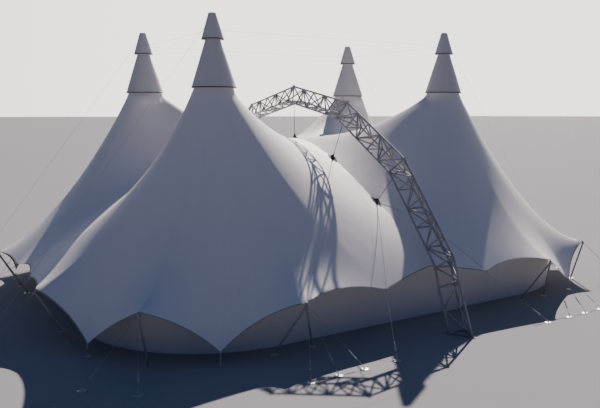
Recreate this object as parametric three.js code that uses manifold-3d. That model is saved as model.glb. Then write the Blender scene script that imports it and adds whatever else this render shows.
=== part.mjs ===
// A four-mast marquee: a tensioned fabric roof drawn up to four mast heads and hung along its
// middle from an arched truss, with a set-back wall, edge poles, guy ropes and ground anchors.
//
// Millimetres, +Z up, standing on z = 0. X runs along the long side and Y from front to back.
// The tent is the same in all four quarters, so one quarter is worked out and mirrored.

import * as THREE from 'three';
import { mergeVertices } from 'three/addons/utils/BufferGeometryUtils.js';
import ManifoldModule from 'manifold-3d';

const wasm = await ManifoldModule();
wasm.setup();

// Driving dimensions

const GAP = 0.3;                 // between pieces that touch
const WELD = 0.001;              // corners nearer than this are one
const FRONT = -1, BACK = 1, LEFT = -1, RIGHT = 1;

const MAST = { x: 8000, y: 5520, radius: 150, wall: 10, top: 15770, sides: 8 };
const MAST_COLLAR = { width: 70, height: 80 };    // the lower cap stands on it
const MAST_BASE = { radius: 350, thickness: 25 };

const UPPER_CAP = { bottom: 14450, bottomRadius: 600, top: 15800, topRadius: 190 };
const LOWER_CAP = { bottom: 11980, bottomRadius: 1185, top: 14650, topRadius: 318 };
const CAP_SHEET = 30;            // thickness of both caps
const CAP_SIDES = 16;
const CAP_HOLE = MAST.radius + 12;

const NECK = { top: 12100, topRadius: 982, foot: 11347, footRadius: 1313 };
const NECK_RING = { outer: 1050, inner: 880, thickness: 50, spoke: 60, sides: 12 };

const FABRIC = 50;               // thickness the roof is modelled with
const HIGH_TIP = { reach: 9225, z: 2500 };
const CORNER_TIP = { reach: 9175, z: 2500 };
const LOW_TIP = { reach: 8600, z: 550, spread: 21.1 };
const LONG_SIDE_TIP = { x: 3375, y: 14390, z: 2350 };
const SHORT_SIDE_TIP = { x: 16875, y: 1950, z: 2350 };
const RIDGE_POINTS = [{ y: 0, z: 9085 }, { y: 4575, z: 7960 }, { y: 9000, z: 5705 }];
const RIDGE_PLATE = { length: 1000, width: 420, thickness: 60 };   // a diamond

const WALL = { cornerRadius: 7030, thickness: 40, cornerSteps: 8 };

const POLE = { radius: 50, foot: 8000, halfSpread: 1000, cornerFoot: 8525 };
const FOOT_PLATE = { radius: 180, thickness: 20 };
const TIP_HEAD = { radius: 110, height: 170 };
const ROPE = 18;                 // radius of the guys, straps and cables
const STRAP = { width: 100, thickness: 30, plate: 300 };
const ANCHOR = { radius: 200, height: 60 };
const GUY = { reach: 11700, spread: 1320, cornerSpread: 5.7 };
const LONG_SIDE_ANCHOR = { x: 4965, y: 17240 };
const SHORT_SIDE_ANCHOR = { x: 19720, y: 3550 };
const MAST_CABLE = { z: 14950, eye: 520, collar: 60, anchorOffset: 110 };

const CHORD = 60, BRACE = 32;    // bar radii in the arch
const ARCH = {
  halfWidth: 530, depth: 918, bays: 5,
  outer: [{ y: 0, z: 12400 }, { y: 6150, z: 11300 }, { y: 11450, z: 8300 }, { y: 15370, z: 3700 }],
};
const ARCH_BASE = {
  frameInner: { y: 14925, z: 2150 }, frameOuter: { y: 15800, z: 2600 },
  footInner: 15740, footOuter: 16790, plate: 190, plateThickness: 30,
  lowTie: 0.05,                  // how far up the outer bar the lowest ties meet, as a share of it
};
const MITRE = 0.05;              // share of its length that a chord runs past a kink, to be cut

const COLOURS = {
  fabric: 0xe4dfd8, cap: 0xece8e2, wall: 0xc9c6c4, steel: 0x9c9da1, mast: 0x9aa0a8,
  plate: 0x2e3138, rope: 0xb9b9b8,
};

// Solids and meshes

const material = (colour, roughness, metalness) =>
  new THREE.MeshStandardMaterial({ color: colour, roughness, metalness, side: THREE.DoubleSide });

const steel = () => material(COLOURS.steel, 0.45, 0.7);

function toSolid(geometry) {
  const bare = geometry.clone();
  bare.deleteAttribute('normal');
  bare.deleteAttribute('uv');
  const merged = mergeVertices(bare, WELD);
  const triangles = [];
  for (let k = 0; k < merged.index.count; k += 3) {
    const [a, b, c] = merged.index.array.slice(k, k + 3);
    if (a !== b && b !== c && c !== a) triangles.push(a, b, c);   // a turned end on the axis has none
  }
  return new wasm.Manifold(new wasm.Mesh({
    numProp: 3,
    vertProperties: new Float32Array(merged.attributes.position.array),
    triVerts: new Uint32Array(triangles),
  }));
}

function toMesh(name, solid, look) {
  const { vertProperties, triVerts } = solid.getMesh();
  const geometry = new THREE.BufferGeometry();
  geometry.setAttribute('position', new THREE.BufferAttribute(new Float32Array(vertProperties), 3));
  geometry.setIndex(new THREE.BufferAttribute(new Uint32Array(triVerts), 1));
  geometry.computeVertexNormals();
  const mesh = new THREE.Mesh(geometry, look);
  mesh.name = name;
  return mesh;
}

const union = (solids) => solids.reduce((sum, solid) => sum.add(solid));
const at = (x, y, z) => new THREE.Vector3(x, y, z);
const polar = (radius, degrees, z) => {
  const angle = THREE.MathUtils.degToRad(degrees);
  return at(MAST.x + radius * Math.cos(angle), MAST.y + radius * Math.sin(angle), z);
};

/** A straight bar from one point to another. */
function bar(from, to, radius, sides = 6) {
  const along = to.clone().sub(from);
  const geometry = new THREE.CylinderGeometry(radius, radius, along.length(), sides);
  const turn = new THREE.Quaternion().setFromUnitVectors(at(0, 1, 0), along.normalize());
  geometry.applyQuaternion(turn).translate(...from.clone().lerp(to, 1 / 2));
  return toSolid(geometry);
}

/** An upright cylinder whose underside is at z. */
function drum(x, y, z, radius, height, sides = 6) {
  const geometry = new THREE.CylinderGeometry(radius, radius, height, sides);
  geometry.rotateX(Math.PI / 2).translate(x, y, z + height / 2);
  return toSolid(geometry);
}

function box(x, y, z, width, depth, height) {
  return toSolid(new THREE.BoxGeometry(width, depth, height).translate(x, y, z + height / 2));
}

/** A solid turned about a vertical axis: its outline's inside first, downwards, then its outside. */
function turned(outline, x, y, sides) {
  const points = outline.map(([radius, z]) => new THREE.Vector2(radius, z));
  const closes = outline[0][0] > 0;              // otherwise it starts and ends on the axis
  const geometry = new THREE.LatheGeometry(closes ? [...points, points[0]] : points, sides);
  return toSolid(geometry.rotateX(Math.PI / 2).translate(x, y, 0));
}

// The roof's shape
//
// A fabric roof takes the shape in which the pull of its threads balances everywhere. One
// quarter is a net: rows run round the mast from the neck to the edge, columns run outwards.
// Each link pulls with its length times its density, and the free knots settle where the
// pulls cancel. The edge links stand for the edge belt and pull the hardest.

const ROWS = 7;
const DENSITY = {
  radial: 1, crest: 8.761, crestWidth: 10.043, inner: 0.571,     // crest: towards the tent's middle
  hoop: 3.96, hoopAtEdge: 1.549, hoopAtNeck: 3.228, hoopFade: 7.419,
  crossLine: 0.286, ridge: 36.541, ridgeEnd: 11.848,
  shortSide: 123.92, shortSideToTip: 60.161, sideways: 37.263, towardsCorner: 39.927,
  fromCorner: 30.713, endways: 21.305, longSideToTip: 15.58, longSide: 143.117,
};
const GRID_SHARE = { rows: 0.7, columns: 0.4 };    // of the net that the densities belong to
const CROSS_LINE = 'y = 0', EDGE = 'edge', RIDGE = 'x = 0';
const SETTLED = 1e-16;           // share of the first pull, squared, at which the net is at rest
const UPRIGHT = 0.001;           // keeps a normal on a middle line from lying level

const high = (degrees) => polar(HIGH_TIP.reach, degrees, HIGH_TIP.z);
const low = (degrees) => polar(LOW_TIP.reach, degrees, LOW_TIP.z);
const tips = {
  shortSide: at(SHORT_SIDE_TIP.x, SHORT_SIDE_TIP.y, SHORT_SIDE_TIP.z),
  sideways: high(0),
  low: [low(45 - LOW_TIP.spread), low(45 + LOW_TIP.spread)],
  corner: polar(CORNER_TIP.reach, 45, CORNER_TIP.z),
  endways: high(90),
  longSide: at(LONG_SIDE_TIP.x, LONG_SIDE_TIP.y, LONG_SIDE_TIP.z),
};
const EDGE_MIDDLE = { shortSide: at(16500, 0, 2600), longSide: at(0, 13600, 2700) };
const [ridgeTop, ridgeUpper, ridgeLower] = RIDGE_POINTS.map(({ y, z }) => at(0, y, z));

/** The quarter's outline, from the middle of the tent anticlockwise round the edge. */
const OUTLINE = [
  { from: ridgeTop, held: true, line: CROSS_LINE, columns: 7, pull: DENSITY.crossLine },
  { from: EDGE_MIDDLE.shortSide, held: false, line: EDGE, columns: 2, pull: DENSITY.shortSide },
  { from: tips.shortSide, held: true, line: EDGE, columns: 3, pull: DENSITY.shortSideToTip },
  { from: tips.sideways, held: true, line: EDGE, columns: 3, pull: DENSITY.sideways },
  { from: tips.low[0], held: true, line: EDGE, columns: 3, pull: DENSITY.towardsCorner },
  { from: tips.corner, held: true, line: EDGE, columns: 3, pull: DENSITY.fromCorner },
  { from: tips.low[1], held: true, line: EDGE, columns: 3, pull: DENSITY.endways },
  { from: tips.endways, held: true, line: EDGE, columns: 3, pull: DENSITY.longSideToTip },
  { from: tips.longSide, held: true, line: EDGE, columns: 2, pull: DENSITY.longSide },
  { from: EDGE_MIDDLE.longSide, held: false, line: RIDGE, columns: 3, pull: DENSITY.ridgeEnd },
  { from: ridgeLower, held: true, line: RIDGE, columns: 3, pull: DENSITY.ridge },
  { from: ridgeUpper, held: true, line: RIDGE, columns: 3, pull: DENSITY.ridge },
];

/** Splits the outline into columns: the starting point, line, pull and freedom of each. */
function outlineColumns() {
  return OUTLINE.flatMap(({ from, held, line, columns, pull }, k) => {
    const to = OUTLINE[(k + 1) % OUTLINE.length].from;
    return Array.from({ length: columns }, (_, step) => ({
      start: from.clone().lerp(to, step / columns),
      line,
      pull,
      held: held && step === 0,
      onCrossLine: line === CROSS_LINE || (step === 0 && from.y === 0),
      onRidge: line === RIDGE || (step === 0 && from.x === 0),
    }));
  });
}

const COLUMNS = outlineColumns();
const COUNT = COLUMNS.length;
const wrap = (column) => (column + COUNT) % COUNT;
const knot = (row, column) => row * COUNT + wrap(column);

/** The links of the net as [knot, knot, density]. */
function netLinks() {
  const hoopScale = (GRID_SHARE.columns / GRID_SHARE.rows) ** 2;
  const lineScale = GRID_SHARE.columns ** 2 / GRID_SHARE.rows;
  const { radial, crest, crestWidth, inner, hoop, hoopAtEdge, hoopAtNeck, hoopFade } = DENSITY;
  const bearing = COLUMNS.map(({ start }) => Math.atan2(start.y - MAST.y, start.x - MAST.x));
  const degreesFromCrest = bearing.map((angle) =>
    THREE.MathUtils.radToDeg(Math.atan2(Math.sin(angle - bearing[0]), Math.cos(angle - bearing[0]))));
  const links = [];
  COLUMNS.forEach(({ line, pull }, column) => {
    const nearCrest = crest * Math.exp(-((degreesFromCrest[column] / crestWidth) ** 2));
    const outwards = radial * (1 + nearCrest + (line === EDGE ? 0 : inner));
    for (let row = 0; row < ROWS; row += 1) {
      links.push([knot(row, column), knot(row + 1, column), outwards]);
      if (row === 0) continue;
      const share = row / ROWS;
      const growth = 1 + hoopAtEdge * share + hoopAtNeck * Math.exp(-hoopFade * share);
      links.push([knot(row, column), knot(row, column + 1), hoop * growth * hoopScale]);
    }
    const shared = line === EDGE ? 0 : hoop * hoopScale / 2;   // the next quarter has the other half
    links.push([knot(ROWS, column), knot(ROWS, column + 1), shared + pull * lineScale]);
  });
  return links;
}

/** The pull on every knot, three numbers each. */
function pullOnKnots(points, links) {
  const pull = new Float64Array(points.length);
  for (const [a, b, density] of links) {
    for (let k = 0; k < 3; k += 1) {
      const force = density * (points[3 * b + k] - points[3 * a + k]);
      pull[3 * a + k] += force;
      pull[3 * b + k] -= force;
    }
  }
  return pull;
}

/** Lets the net settle, by conjugate gradients, and returns its rows of points. */
function settleNet() {
  const links = netLinks();
  const points = new Float64Array(3 * COUNT * (ROWS + 1));
  const free = new Uint8Array(points.length);
  COLUMNS.forEach(({ start, held, onCrossLine, onRidge }, column) => {
    const bearing = Math.atan2(start.y - MAST.y, start.x - MAST.x);
    const neck = polar(NECK.footRadius, THREE.MathUtils.radToDeg(bearing), NECK.foot);
    for (let row = 0; row <= ROWS; row += 1) {
      const index = 3 * knot(row, column);
      neck.clone().lerp(start, row / ROWS).toArray(points, index);
      const last = row === ROWS;
      const loose = row > 0 && !(last && held) ? 1 : 0;
      free[index] = last && onRidge ? 0 : loose;
      free[index + 1] = last && onCrossLine ? 0 : loose;
      free[index + 2] = loose;
      if (last && onRidge) points[index] = 0;
      if (last && onCrossLine) points[index + 1] = 0;
    }
  });

  const dot = (a, b) => a.reduce((sum, value, k) => sum + value * b[k], 0);
  const onFree = (values) => values.map((value, k) => (free[k] ? value : 0));
  let residual = onFree(pullOnKnots(points, links));
  let direction = residual.slice();
  let size = dot(residual, residual);
  const settled = size * SETTLED;
  while (size > settled) {
    const change = onFree(pullOnKnots(direction, links));
    const step = -size / dot(direction, change);
    for (let k = 0; k < points.length; k += 1) {
      points[k] += step * direction[k];
      residual[k] += step * change[k];
    }
    const newSize = dot(residual, residual);
    direction = direction.map((value, k) => residual[k] + value * newSize / size);
    size = newSize;
  }

  const rows = [];
  const neckTop = COLUMNS.map((_, column) => {
    const outwards = at(points[3 * column] - MAST.x, points[3 * column + 1] - MAST.y, 0).normalize();
    return at(MAST.x, MAST.y, NECK.top).addScaledVector(outwards, NECK.topRadius);
  });
  rows.push(neckTop);
  for (let row = 0; row <= ROWS; row += 1) {
    rows.push(COLUMNS.map((_, column) => new THREE.Vector3().fromArray(points, 3 * knot(row, column))));
  }
  return rows;
}

const net = settleNet();

/** The outward normals of the net, true to the mirror planes along the two middle lines. */
const normals = net.map((row, r) => row.map((point, column) => {
  const { onCrossLine, onRidge } = COLUMNS[column];
  if (r === 0) return at(point.x - MAST.x, point.y - MAST.y, 0).normalize();
  const along = row[wrap(column + 1)].clone().sub(row[wrap(column - 1)]);
  const outwards = (net[r + 1] ?? row)[column].clone().sub(net[r - 1][column]);
  const normal = outwards.cross(along);
  if (r === net.length - 1) {
    if (onCrossLine) normal.y = 0;
    if (onRidge) normal.x = 0;
    if (onCrossLine || onRidge) normal.z = Math.max(normal.z, UPRIGHT);
  }
  return normal.normalize();
}));

/**
 * One quarter of the roof as a closed sheet. `above` and `below` are the offsets of its two faces
 * along the normals, `lift` moves its upper face straight up, `rim` widens its outer edge, and
 * `seam` is its distance from the two middle lines, where it meets its neighbours.
 */
function roofQuarter({ above, below, lift = 0, rim = 0, seam = 0 }) {
  const lastRow = net.length - 1;
  const faces = [above, below].map((offset, face) => net.map((row, r) => row.map((knotPoint, c) => {
    const point = knotPoint.clone().addScaledVector(normals[r][c], offset);
    if (face === 0) point.z += lift;
    if (r === lastRow) point.addScaledVector(row[c].clone().sub(net[r - 1][c]).normalize(), rim);
    if (r === lastRow && COLUMNS[c].onRidge) point.x = seam;
    if (r === lastRow && COLUMNS[c].onCrossLine) point.y = seam;
    return point;
  })));
  const index = (face, r, c) => (face * net.length + r) * COUNT + wrap(c);
  const triangles = [];
  const quad = (a, b, c, d) => triangles.push(a, b, c, a, c, d);
  for (let c = 0; c < COUNT; c += 1) {
    for (let r = 0; r < lastRow; r += 1) {
      quad(index(0, r, c), index(0, r + 1, c), index(0, r + 1, c + 1), index(0, r, c + 1));
      quad(index(1, r, c), index(1, r, c + 1), index(1, r + 1, c + 1), index(1, r + 1, c));
    }
    quad(index(0, 0, c), index(0, 0, c + 1), index(1, 0, c + 1), index(1, 0, c));
    const rimOf = (face, column) => index(face, lastRow, column);
    quad(rimOf(0, c), rimOf(1, c), rimOf(1, c + 1), rimOf(0, c + 1));
  }
  const geometry = new THREE.BufferGeometry();
  geometry.setAttribute('position',
    new THREE.Float32BufferAttribute(faces.flat(2).flatMap((point) => point.toArray()), 3));
  geometry.setIndex(triangles);
  return toSolid(geometry);
}

const mirrored = (solid, sideX, sideY) => {
  const acrossX = sideX < 0 ? solid.mirror([1, 0, 0]) : solid;
  return sideY < 0 ? acrossX.mirror([0, 1, 0]) : acrossX;
};
const quarters = [[LEFT, FRONT], [RIGHT, FRONT], [LEFT, BACK], [RIGHT, BACK]];
const onAllQuarters = (solid) => union(quarters.map(([x, y]) => mirrored(solid, x, y)));

const halfFabric = FABRIC / 2;
const roof = roofQuarter({ above: halfFabric, below: -halfFabric, seam: GAP / 2 });

// Cutters: all that is above the roof's underside, and all that is just below its upper face.
const FAR = 20000, DEEP = 400;
const underside = -halfFabric - GAP, upperFace = halfFabric + GAP;
const aboveUnderside = onAllQuarters(
  roofQuarter({ above: underside, below: underside, lift: FAR, rim: GAP })
    .add(roofQuarter({ above: upperFace, below: underside, rim: GAP })));
const belowUpperFace = onAllQuarters(
  roofQuarter({ above: upperFace, below: upperFace - DEEP }));

// The layer on the roof's upper face that the ridge plates are cut from.
const plateLayer = onAllQuarters(
  roofQuarter({ above: upperFace + RIDGE_PLATE.thickness, below: upperFace + GAP }));

// Masts, neck rings and caps

function mast(x, y) {
  const { radius, wall, top } = MAST;
  const tube = turned([[radius - wall, top - GAP], [radius - wall, 0], [radius, 0],
    [radius, top - GAP]], x, y, MAST.sides);
  const base = drum(x, y, 0, MAST_BASE.radius, MAST_BASE.thickness, MAST.sides);
  const ringZ = NECK.top + GAP;
  const ringTop = ringZ + NECK_RING.thickness;
  const ring = turned([[NECK_RING.inner, ringTop], [NECK_RING.inner, ringZ], [NECK_RING.outer, ringZ],
    [NECK_RING.outer, ringTop]], x, y, NECK_RING.sides);
  const spokes = [0, 90].map((degrees) => {
    const span = NECK_RING.inner + NECK_RING.outer;
    const spoke = new THREE.BoxGeometry(span, NECK_RING.spoke, NECK_RING.thickness)
      .rotateZ(THREE.MathUtils.degToRad(degrees))
      .translate(x, y, ringZ + NECK_RING.thickness / 2);
    return toSolid(spoke);
  });
  const collarTop = LOWER_CAP.top - CAP_SHEET - GAP;
  const { width, height } = MAST_COLLAR;
  const collar = drum(x, y, collarTop - height, radius + width, height, MAST.sides);
  const bore = drum(x, y, MAST_BASE.thickness, radius - wall, top, MAST.sides);
  return union([tube, base, ring, collar, ...spokes]).subtract(bore);
}

function upperCap(x, y) {
  const { bottom, bottomRadius, top, topRadius } = UPPER_CAP;
  const cone = turned([[0, top - CAP_SHEET], [topRadius - CAP_SHEET, top - CAP_SHEET],
    [bottomRadius - CAP_SHEET, bottom], [bottomRadius, bottom], [topRadius, top], [0, top]],
  x, y, CAP_SIDES);
  return cone.subtract(cablesAtHead(x, y, ROPE + 2 * GAP));
}

function lowerCap(x, y) {
  const { bottom, bottomRadius, top, topRadius } = LOWER_CAP;
  return turned([[CAP_HOLE, top - CAP_SHEET], [topRadius - CAP_SHEET, top - CAP_SHEET],
    [bottomRadius - CAP_SHEET, bottom], [bottomRadius, bottom], [topRadius, top], [CAP_HOLE, top]],
  x, y, CAP_SIDES);
}

// The cables at the mast heads: ties round the four heads, and a guy from each to the ground

const towardsMiddle = (value) => -Math.sign(value);

/** The level lines that leave one mast head, long enough to pass through its cap. */
function cablesAtHead(x, y, radius) {
  const head = at(x, y, MAST_CABLE.z);
  const reach = MAST_CABLE.eye;
  return union([
    bar(head, head.clone().add(at(towardsMiddle(x) * reach * 2, 0, 0)), radius, 4),
    bar(head, head.clone().add(at(0, towardsMiddle(y) * reach * 2, 0)), radius, 4),
    bar(head, head.clone().sub(at(towardsMiddle(x) * reach, 0, 0)), radius, 4),
  ]);
}

function mastCables() {
  const { z, eye, collar, anchorOffset } = MAST_CABLE;
  const inner = MAST.radius + GAP, outer = MAST.radius + collar;
  const cables = [FRONT, BACK].flatMap((side) => [
    bar(at(-MAST.x, side * MAST.y, z), at(MAST.x, side * MAST.y, z), ROPE, 4),
    bar(at(side * MAST.x, -MAST.y, z), at(side * MAST.x, MAST.y, z), ROPE, 4),
  ]);
  const bores = quarters.map(([x, y]) => drum(x * MAST.x, y * MAST.y, 0, inner, FAR, MAST.sides));
  const collars = quarters.map(([x, y]) =>
    drum(x * MAST.x, y * MAST.y, z - collar / 2, outer, collar, MAST.sides));
  const heads = quarters.map(([x, y]) => cablesAtHead(x * MAST.x, y * MAST.y, ROPE));
  const foot = at(guyAnchors.sideways[1].x + anchorOffset, MAST.y, 0);
  const guy = bar(foot, at(MAST.x + eye, MAST.y, z), ROPE, 4);
  const guys = onAllQuarters(guy.trimByPlane([0, 0, 1], ANCHOR.height + GAP));
  return union([...cables, ...collars, ...heads, guys]).subtract(union(bores));
}

// The arch

const chordX = { left: -ARCH.halfWidth, right: ARCH.halfWidth };
const nodePoint = (x, { y, z }, side) => at(x, side * y, z);
const between = (a, b, share) => ({ y: a.y + (b.y - a.y) * share, z: a.z + (b.z - a.z) * share });

/** The inner chords' kinks: the outer chord's, moved inwards square to both neighbours. */
const innerKinks = ARCH.outer.map((point, k) => {
  const neighbours = [];
  const square = (a, b) => {
    const length = Math.hypot(b.y - a.y, b.z - a.z);
    return { y: (b.z - a.z) / length, z: -(b.y - a.y) / length };
  };
  if (k > 0) neighbours.push(square(ARCH.outer[k - 1], point));
  if (k < ARCH.outer.length - 1) neighbours.push(square(point, ARCH.outer[k + 1]));
  if (k === 0) neighbours.push({ y: -neighbours[0].y, z: neighbours[0].z });
  if (neighbours.length === 1) neighbours.push(neighbours[0]);
  const [a, b] = neighbours;
  const share = ARCH.depth / (1 + a.y * b.y + a.z * b.z);
  return { y: point.y + (a.y + b.y) * share, z: point.z + (a.z + b.z) * share };
});

function endFrame(inner, outer, side) {
  const left = nodePoint(chordX.left, inner, side);
  const right = nodePoint(chordX.right, inner, side);
  const top = nodePoint(0, outer, side);
  return [bar(left, right, BRACE, 4), bar(left, top, BRACE, 4), bar(right, top, BRACE, 4)];
}

/** The plane through the kink k, as the unit normal that points along the arch away from the crown. */
function kinkPlane(k, side) {
  const inner = innerKinks[k], outer = ARCH.outer[k];
  const across = at(0, side * (outer.y - inner.y), outer.z - inner.z).normalize();
  const normal = at(0, side * across.z, -side * across.y);
  return { normal, offset: normal.dot(nodePoint(0, outer, side)) };
}

const afterKink = (solid, k, side) => {
  const { normal, offset } = kinkPlane(k, side);
  return solid.trimByPlane(normal.toArray(), offset + GAP / 2);
};
const beforeKink = (solid, k, side) => {
  const { normal, offset } = kinkPlane(k, side);
  return solid.trimByPlane(normal.negate().toArray(), -offset + GAP / 2);
};

/** One straight section: its two end frames, the chords between them and the bracing. Every section
 * lies the same way round from the back of the arch to its front. */
function archSection(k, side) {
  const inner = (share) => between(innerKinks[k], innerKinks[k + 1], share);
  const outer = (share) => between(ARCH.outer[k], ARCH.outer[k + 1], share);
  const bars = [
    ...endFrame(innerKinks[k], ARCH.outer[k], side),
    ...endFrame(innerKinks[k + 1], ARCH.outer[k + 1], side),
  ];
  for (const x of [chordX.left, chordX.right]) {
    bars.push(bar(nodePoint(x, inner(-MITRE), side), nodePoint(x, inner(1 + MITRE), side), CHORD, 4));
  }
  bars.push(bar(nodePoint(0, outer(-MITRE), side), nodePoint(0, outer(1 + MITRE), side), CHORD, 4));
  for (let bay = 0; bay < ARCH.bays; bay += 1) {
    const start = bay / ARCH.bays, end = (bay + 1) / ARCH.bays;
    const outwards = (bay % 2 === 0) === (side === FRONT);
    for (const x of [chordX.left, chordX.right]) {
      const innerEnd = nodePoint(x, inner(outwards ? start : end), side);
      const outerEnd = nodePoint(0, outer(outwards ? end : start), side);
      bars.push(bar(innerEnd, outerEnd, BRACE, 3));
    }
  }
  return beforeKink(afterKink(union(bars), k, side), k + 1, side);
}

function archBase(side) {
  const k = ARCH.outer.length - 1;
  const { frameInner, frameOuter, footInner, footOuter, plate, plateThickness } = ARCH_BASE;
  const past = (from, to) => between(from, to, -MITRE);
  const top = nodePoint(0, frameOuter, side);
  const outerFoot = nodePoint(0, { y: footOuter, z: 0 }, side);
  const sillEnd = (x, y) => nodePoint(x, { y, z: BRACE }, side);
  const bars = [
    ...endFrame(innerKinks[k], ARCH.outer[k], side),
    ...endFrame(frameInner, frameOuter, side),
    bar(nodePoint(0, past(ARCH.outer[k], frameOuter), side), top, CHORD, 4),
    bar(top, outerFoot, CHORD, 4),
    drum(outerFoot.x, outerFoot.y, 0, plate, plateThickness),
    bar(sillEnd(chordX.left, footInner), sillEnd(chordX.right, footInner), BRACE, 4),
  ];
  for (const x of [chordX.left, chordX.right]) {
    const shoulder = nodePoint(x, frameInner, side);
    const foot = nodePoint(x, { y: footInner, z: 0 }, side);
    const middle = shoulder.clone().lerp(foot, 1 / 2);
    bars.push(
      bar(nodePoint(x, past(innerKinks[k], frameInner), side), shoulder, CHORD, 4),
      bar(shoulder, foot, CHORD, 4),
      drum(foot.x, foot.y, 0, plate, plateThickness),
      bar(middle, top, BRACE, 3),
      bar(middle, outerFoot.clone().lerp(top, ARCH_BASE.lowTie), BRACE, 3),
      bar(nodePoint(x, innerKinks[k], side), top, BRACE, 3),
      bar(sillEnd(x, footInner), sillEnd(0, footOuter), BRACE, 3),
    );
  }
  return afterKink(union(bars), k, side).trimByPlane([0, 0, 1], 0);
}

// Ridge hangers: a plate on the roof's ridge and a rod up to the cross bar of the arch's kink

function ridgeHanger(k, side) {
  const point = RIDGE_POINTS[k];
  const { length, width, thickness } = RIDGE_PLATE;
  const diamond = drum(0, 0, point.z - DEEP, 1, 2 * DEEP, 4).scale([width / 2, length / 2, 1]);
  const plate = diamond.translate([0, side * point.y, 0]).intersect(plateLayer);
  const top = nodePoint(0, innerKinks[k], side);
  const crossBar = at(chordX.right, 0, 0);
  const clearance = bar(top.clone().sub(crossBar), top.clone().add(crossBar), BRACE + GAP, 4);
  const rod = bar(at(0, side * point.y, point.z + halfFabric + thickness / 2), top, ROPE, 4);
  return plate.add(rod.subtract(clearance).subtract(belowUpperFace));
}

// The wall: four pieces, each a straight run with half a round corner at both ends

const WALL_HEIGHT = 6000;        // before the roof's underside cuts it

/** The wall's line over one quarter, from the middle of the right end to the middle of the back. */
function wallLine(radius) {
  const { cornerSteps } = WALL;
  const corner = Array.from({ length: cornerSteps + 1 }, (_, k) => {
    const angle = (k / cornerSteps) * Math.PI / 2;
    return new THREE.Vector2(MAST.x + radius * Math.cos(angle), MAST.y + radius * Math.sin(angle));
  });
  return [new THREE.Vector2(MAST.x + radius, 0), ...corner, new THREE.Vector2(0, MAST.y + radius)];
}

function wallRing() {
  const { cornerRadius, thickness } = WALL;
  const outside = wallLine(cornerRadius + thickness / 2);
  const inside = wallLine(cornerRadius - thickness / 2).reverse();
  const shape = new THREE.Shape([...outside, ...inside]);
  const quarter = new THREE.ExtrudeGeometry(shape, { depth: WALL_HEIGHT, bevelEnabled: false });
  return onAllQuarters(toSolid(quarter)).subtract(aboveUnderside);
}

/** The part of the ring that faces `outwards`, between the diagonals through the two masts there. */
function wallPiece(ring, outwards) {
  return [1, -1].reduce((piece, turn) => {
    const normal = outwards.x === 0
      ? at(turn, outwards.y, 0).normalize() : at(outwards.x, turn, 0).normalize();
    const through = outwards.x === 0
      ? at(-turn * MAST.x, outwards.y * MAST.y, 0) : at(outwards.x * MAST.x, -turn * MAST.y, 0);
    return piece.trimByPlane(normal.toArray(), normal.dot(through) + GAP / 2);
  }, ring);
}

// Tips, poles, guys, straps and anchors

const headAt = (tip) => drum(tip.x, tip.y, tip.z - TIP_HEAD.height, TIP_HEAD.radius, TIP_HEAD.height);
const underTip = (tip) => at(tip.x, tip.y, tip.z - TIP_HEAD.height / 2);

const poleFeet = {
  sideways: [-1, 1].map((side) => at(MAST.x + POLE.foot, MAST.y + side * POLE.halfSpread, 0)),
  endways: [-1, 1].map((side) => at(MAST.x + side * POLE.halfSpread, MAST.y + POLE.foot, 0)),
  corner: [polar(POLE.cornerFoot, 45, 0)],
  longSide: [],
  shortSide: [],
};

const guyAnchors = {
  sideways: [-1, 0, 1].map((side) => at(MAST.x + GUY.reach, MAST.y + side * GUY.spread, 0)),
  endways: [-1, 0, 1].map((side) => at(MAST.x + side * GUY.spread, MAST.y + GUY.reach, 0)),
  corner: [-1, 1].map((side) => polar(GUY.reach, 45 + side * GUY.cornerSpread, 0)),
  longSide: [at(LONG_SIDE_ANCHOR.x, LONG_SIDE_ANCHOR.y, 0)],
  shortSide: [at(SHORT_SIDE_ANCHOR.x, SHORT_SIDE_ANCHOR.y, 0)],
};

/** All that holds one tip out: its head under the fabric, its poles, and its guys with anchors. */
function tipStay(name, sideX, sideY) {
  const tip = tips[name];
  const poles = poleFeet[name].flatMap((foot) => [
    bar(at(foot.x, foot.y, FOOT_PLATE.thickness / 2), underTip(tip), POLE.radius, 4),
    drum(foot.x, foot.y, 0, FOOT_PLATE.radius, FOOT_PLATE.thickness, 6),
  ]);
  const guys = guyAnchors[name].flatMap((anchor) => [
    bar(at(anchor.x, anchor.y, ANCHOR.height / 2), underTip(tip), ROPE, 3),
    drum(anchor.x, anchor.y, 0, ANCHOR.radius, ANCHOR.height, 8),
  ]);
  const stay = union([headAt(tip), ...poles, ...guys]).trimByPlane([0, 0, 1], 0);
  return mirrored(stay, sideX, sideY).subtract(aboveUnderside);
}

/** A webbing strap, sewn to a low tip, and the plate that it is pinned to the ground by. */
function lowTipStrap(tip) {
  const { width, thickness, plate } = STRAP;
  return box(tip.x, tip.y, 0, width, thickness, tip.z)
    .add(box(tip.x, tip.y, 0, plate, plate, FOOT_PLATE.thickness));
}

// The tent

const tent = new THREE.Group();
tent.name = 'stretch_tent';
const add = (name, solid, look) => tent.add(toMesh(name, solid, look));
const front = { [FRONT]: 'front', [BACK]: 'back' }, left = { [LEFT]: 'left', [RIGHT]: 'right' };

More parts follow.
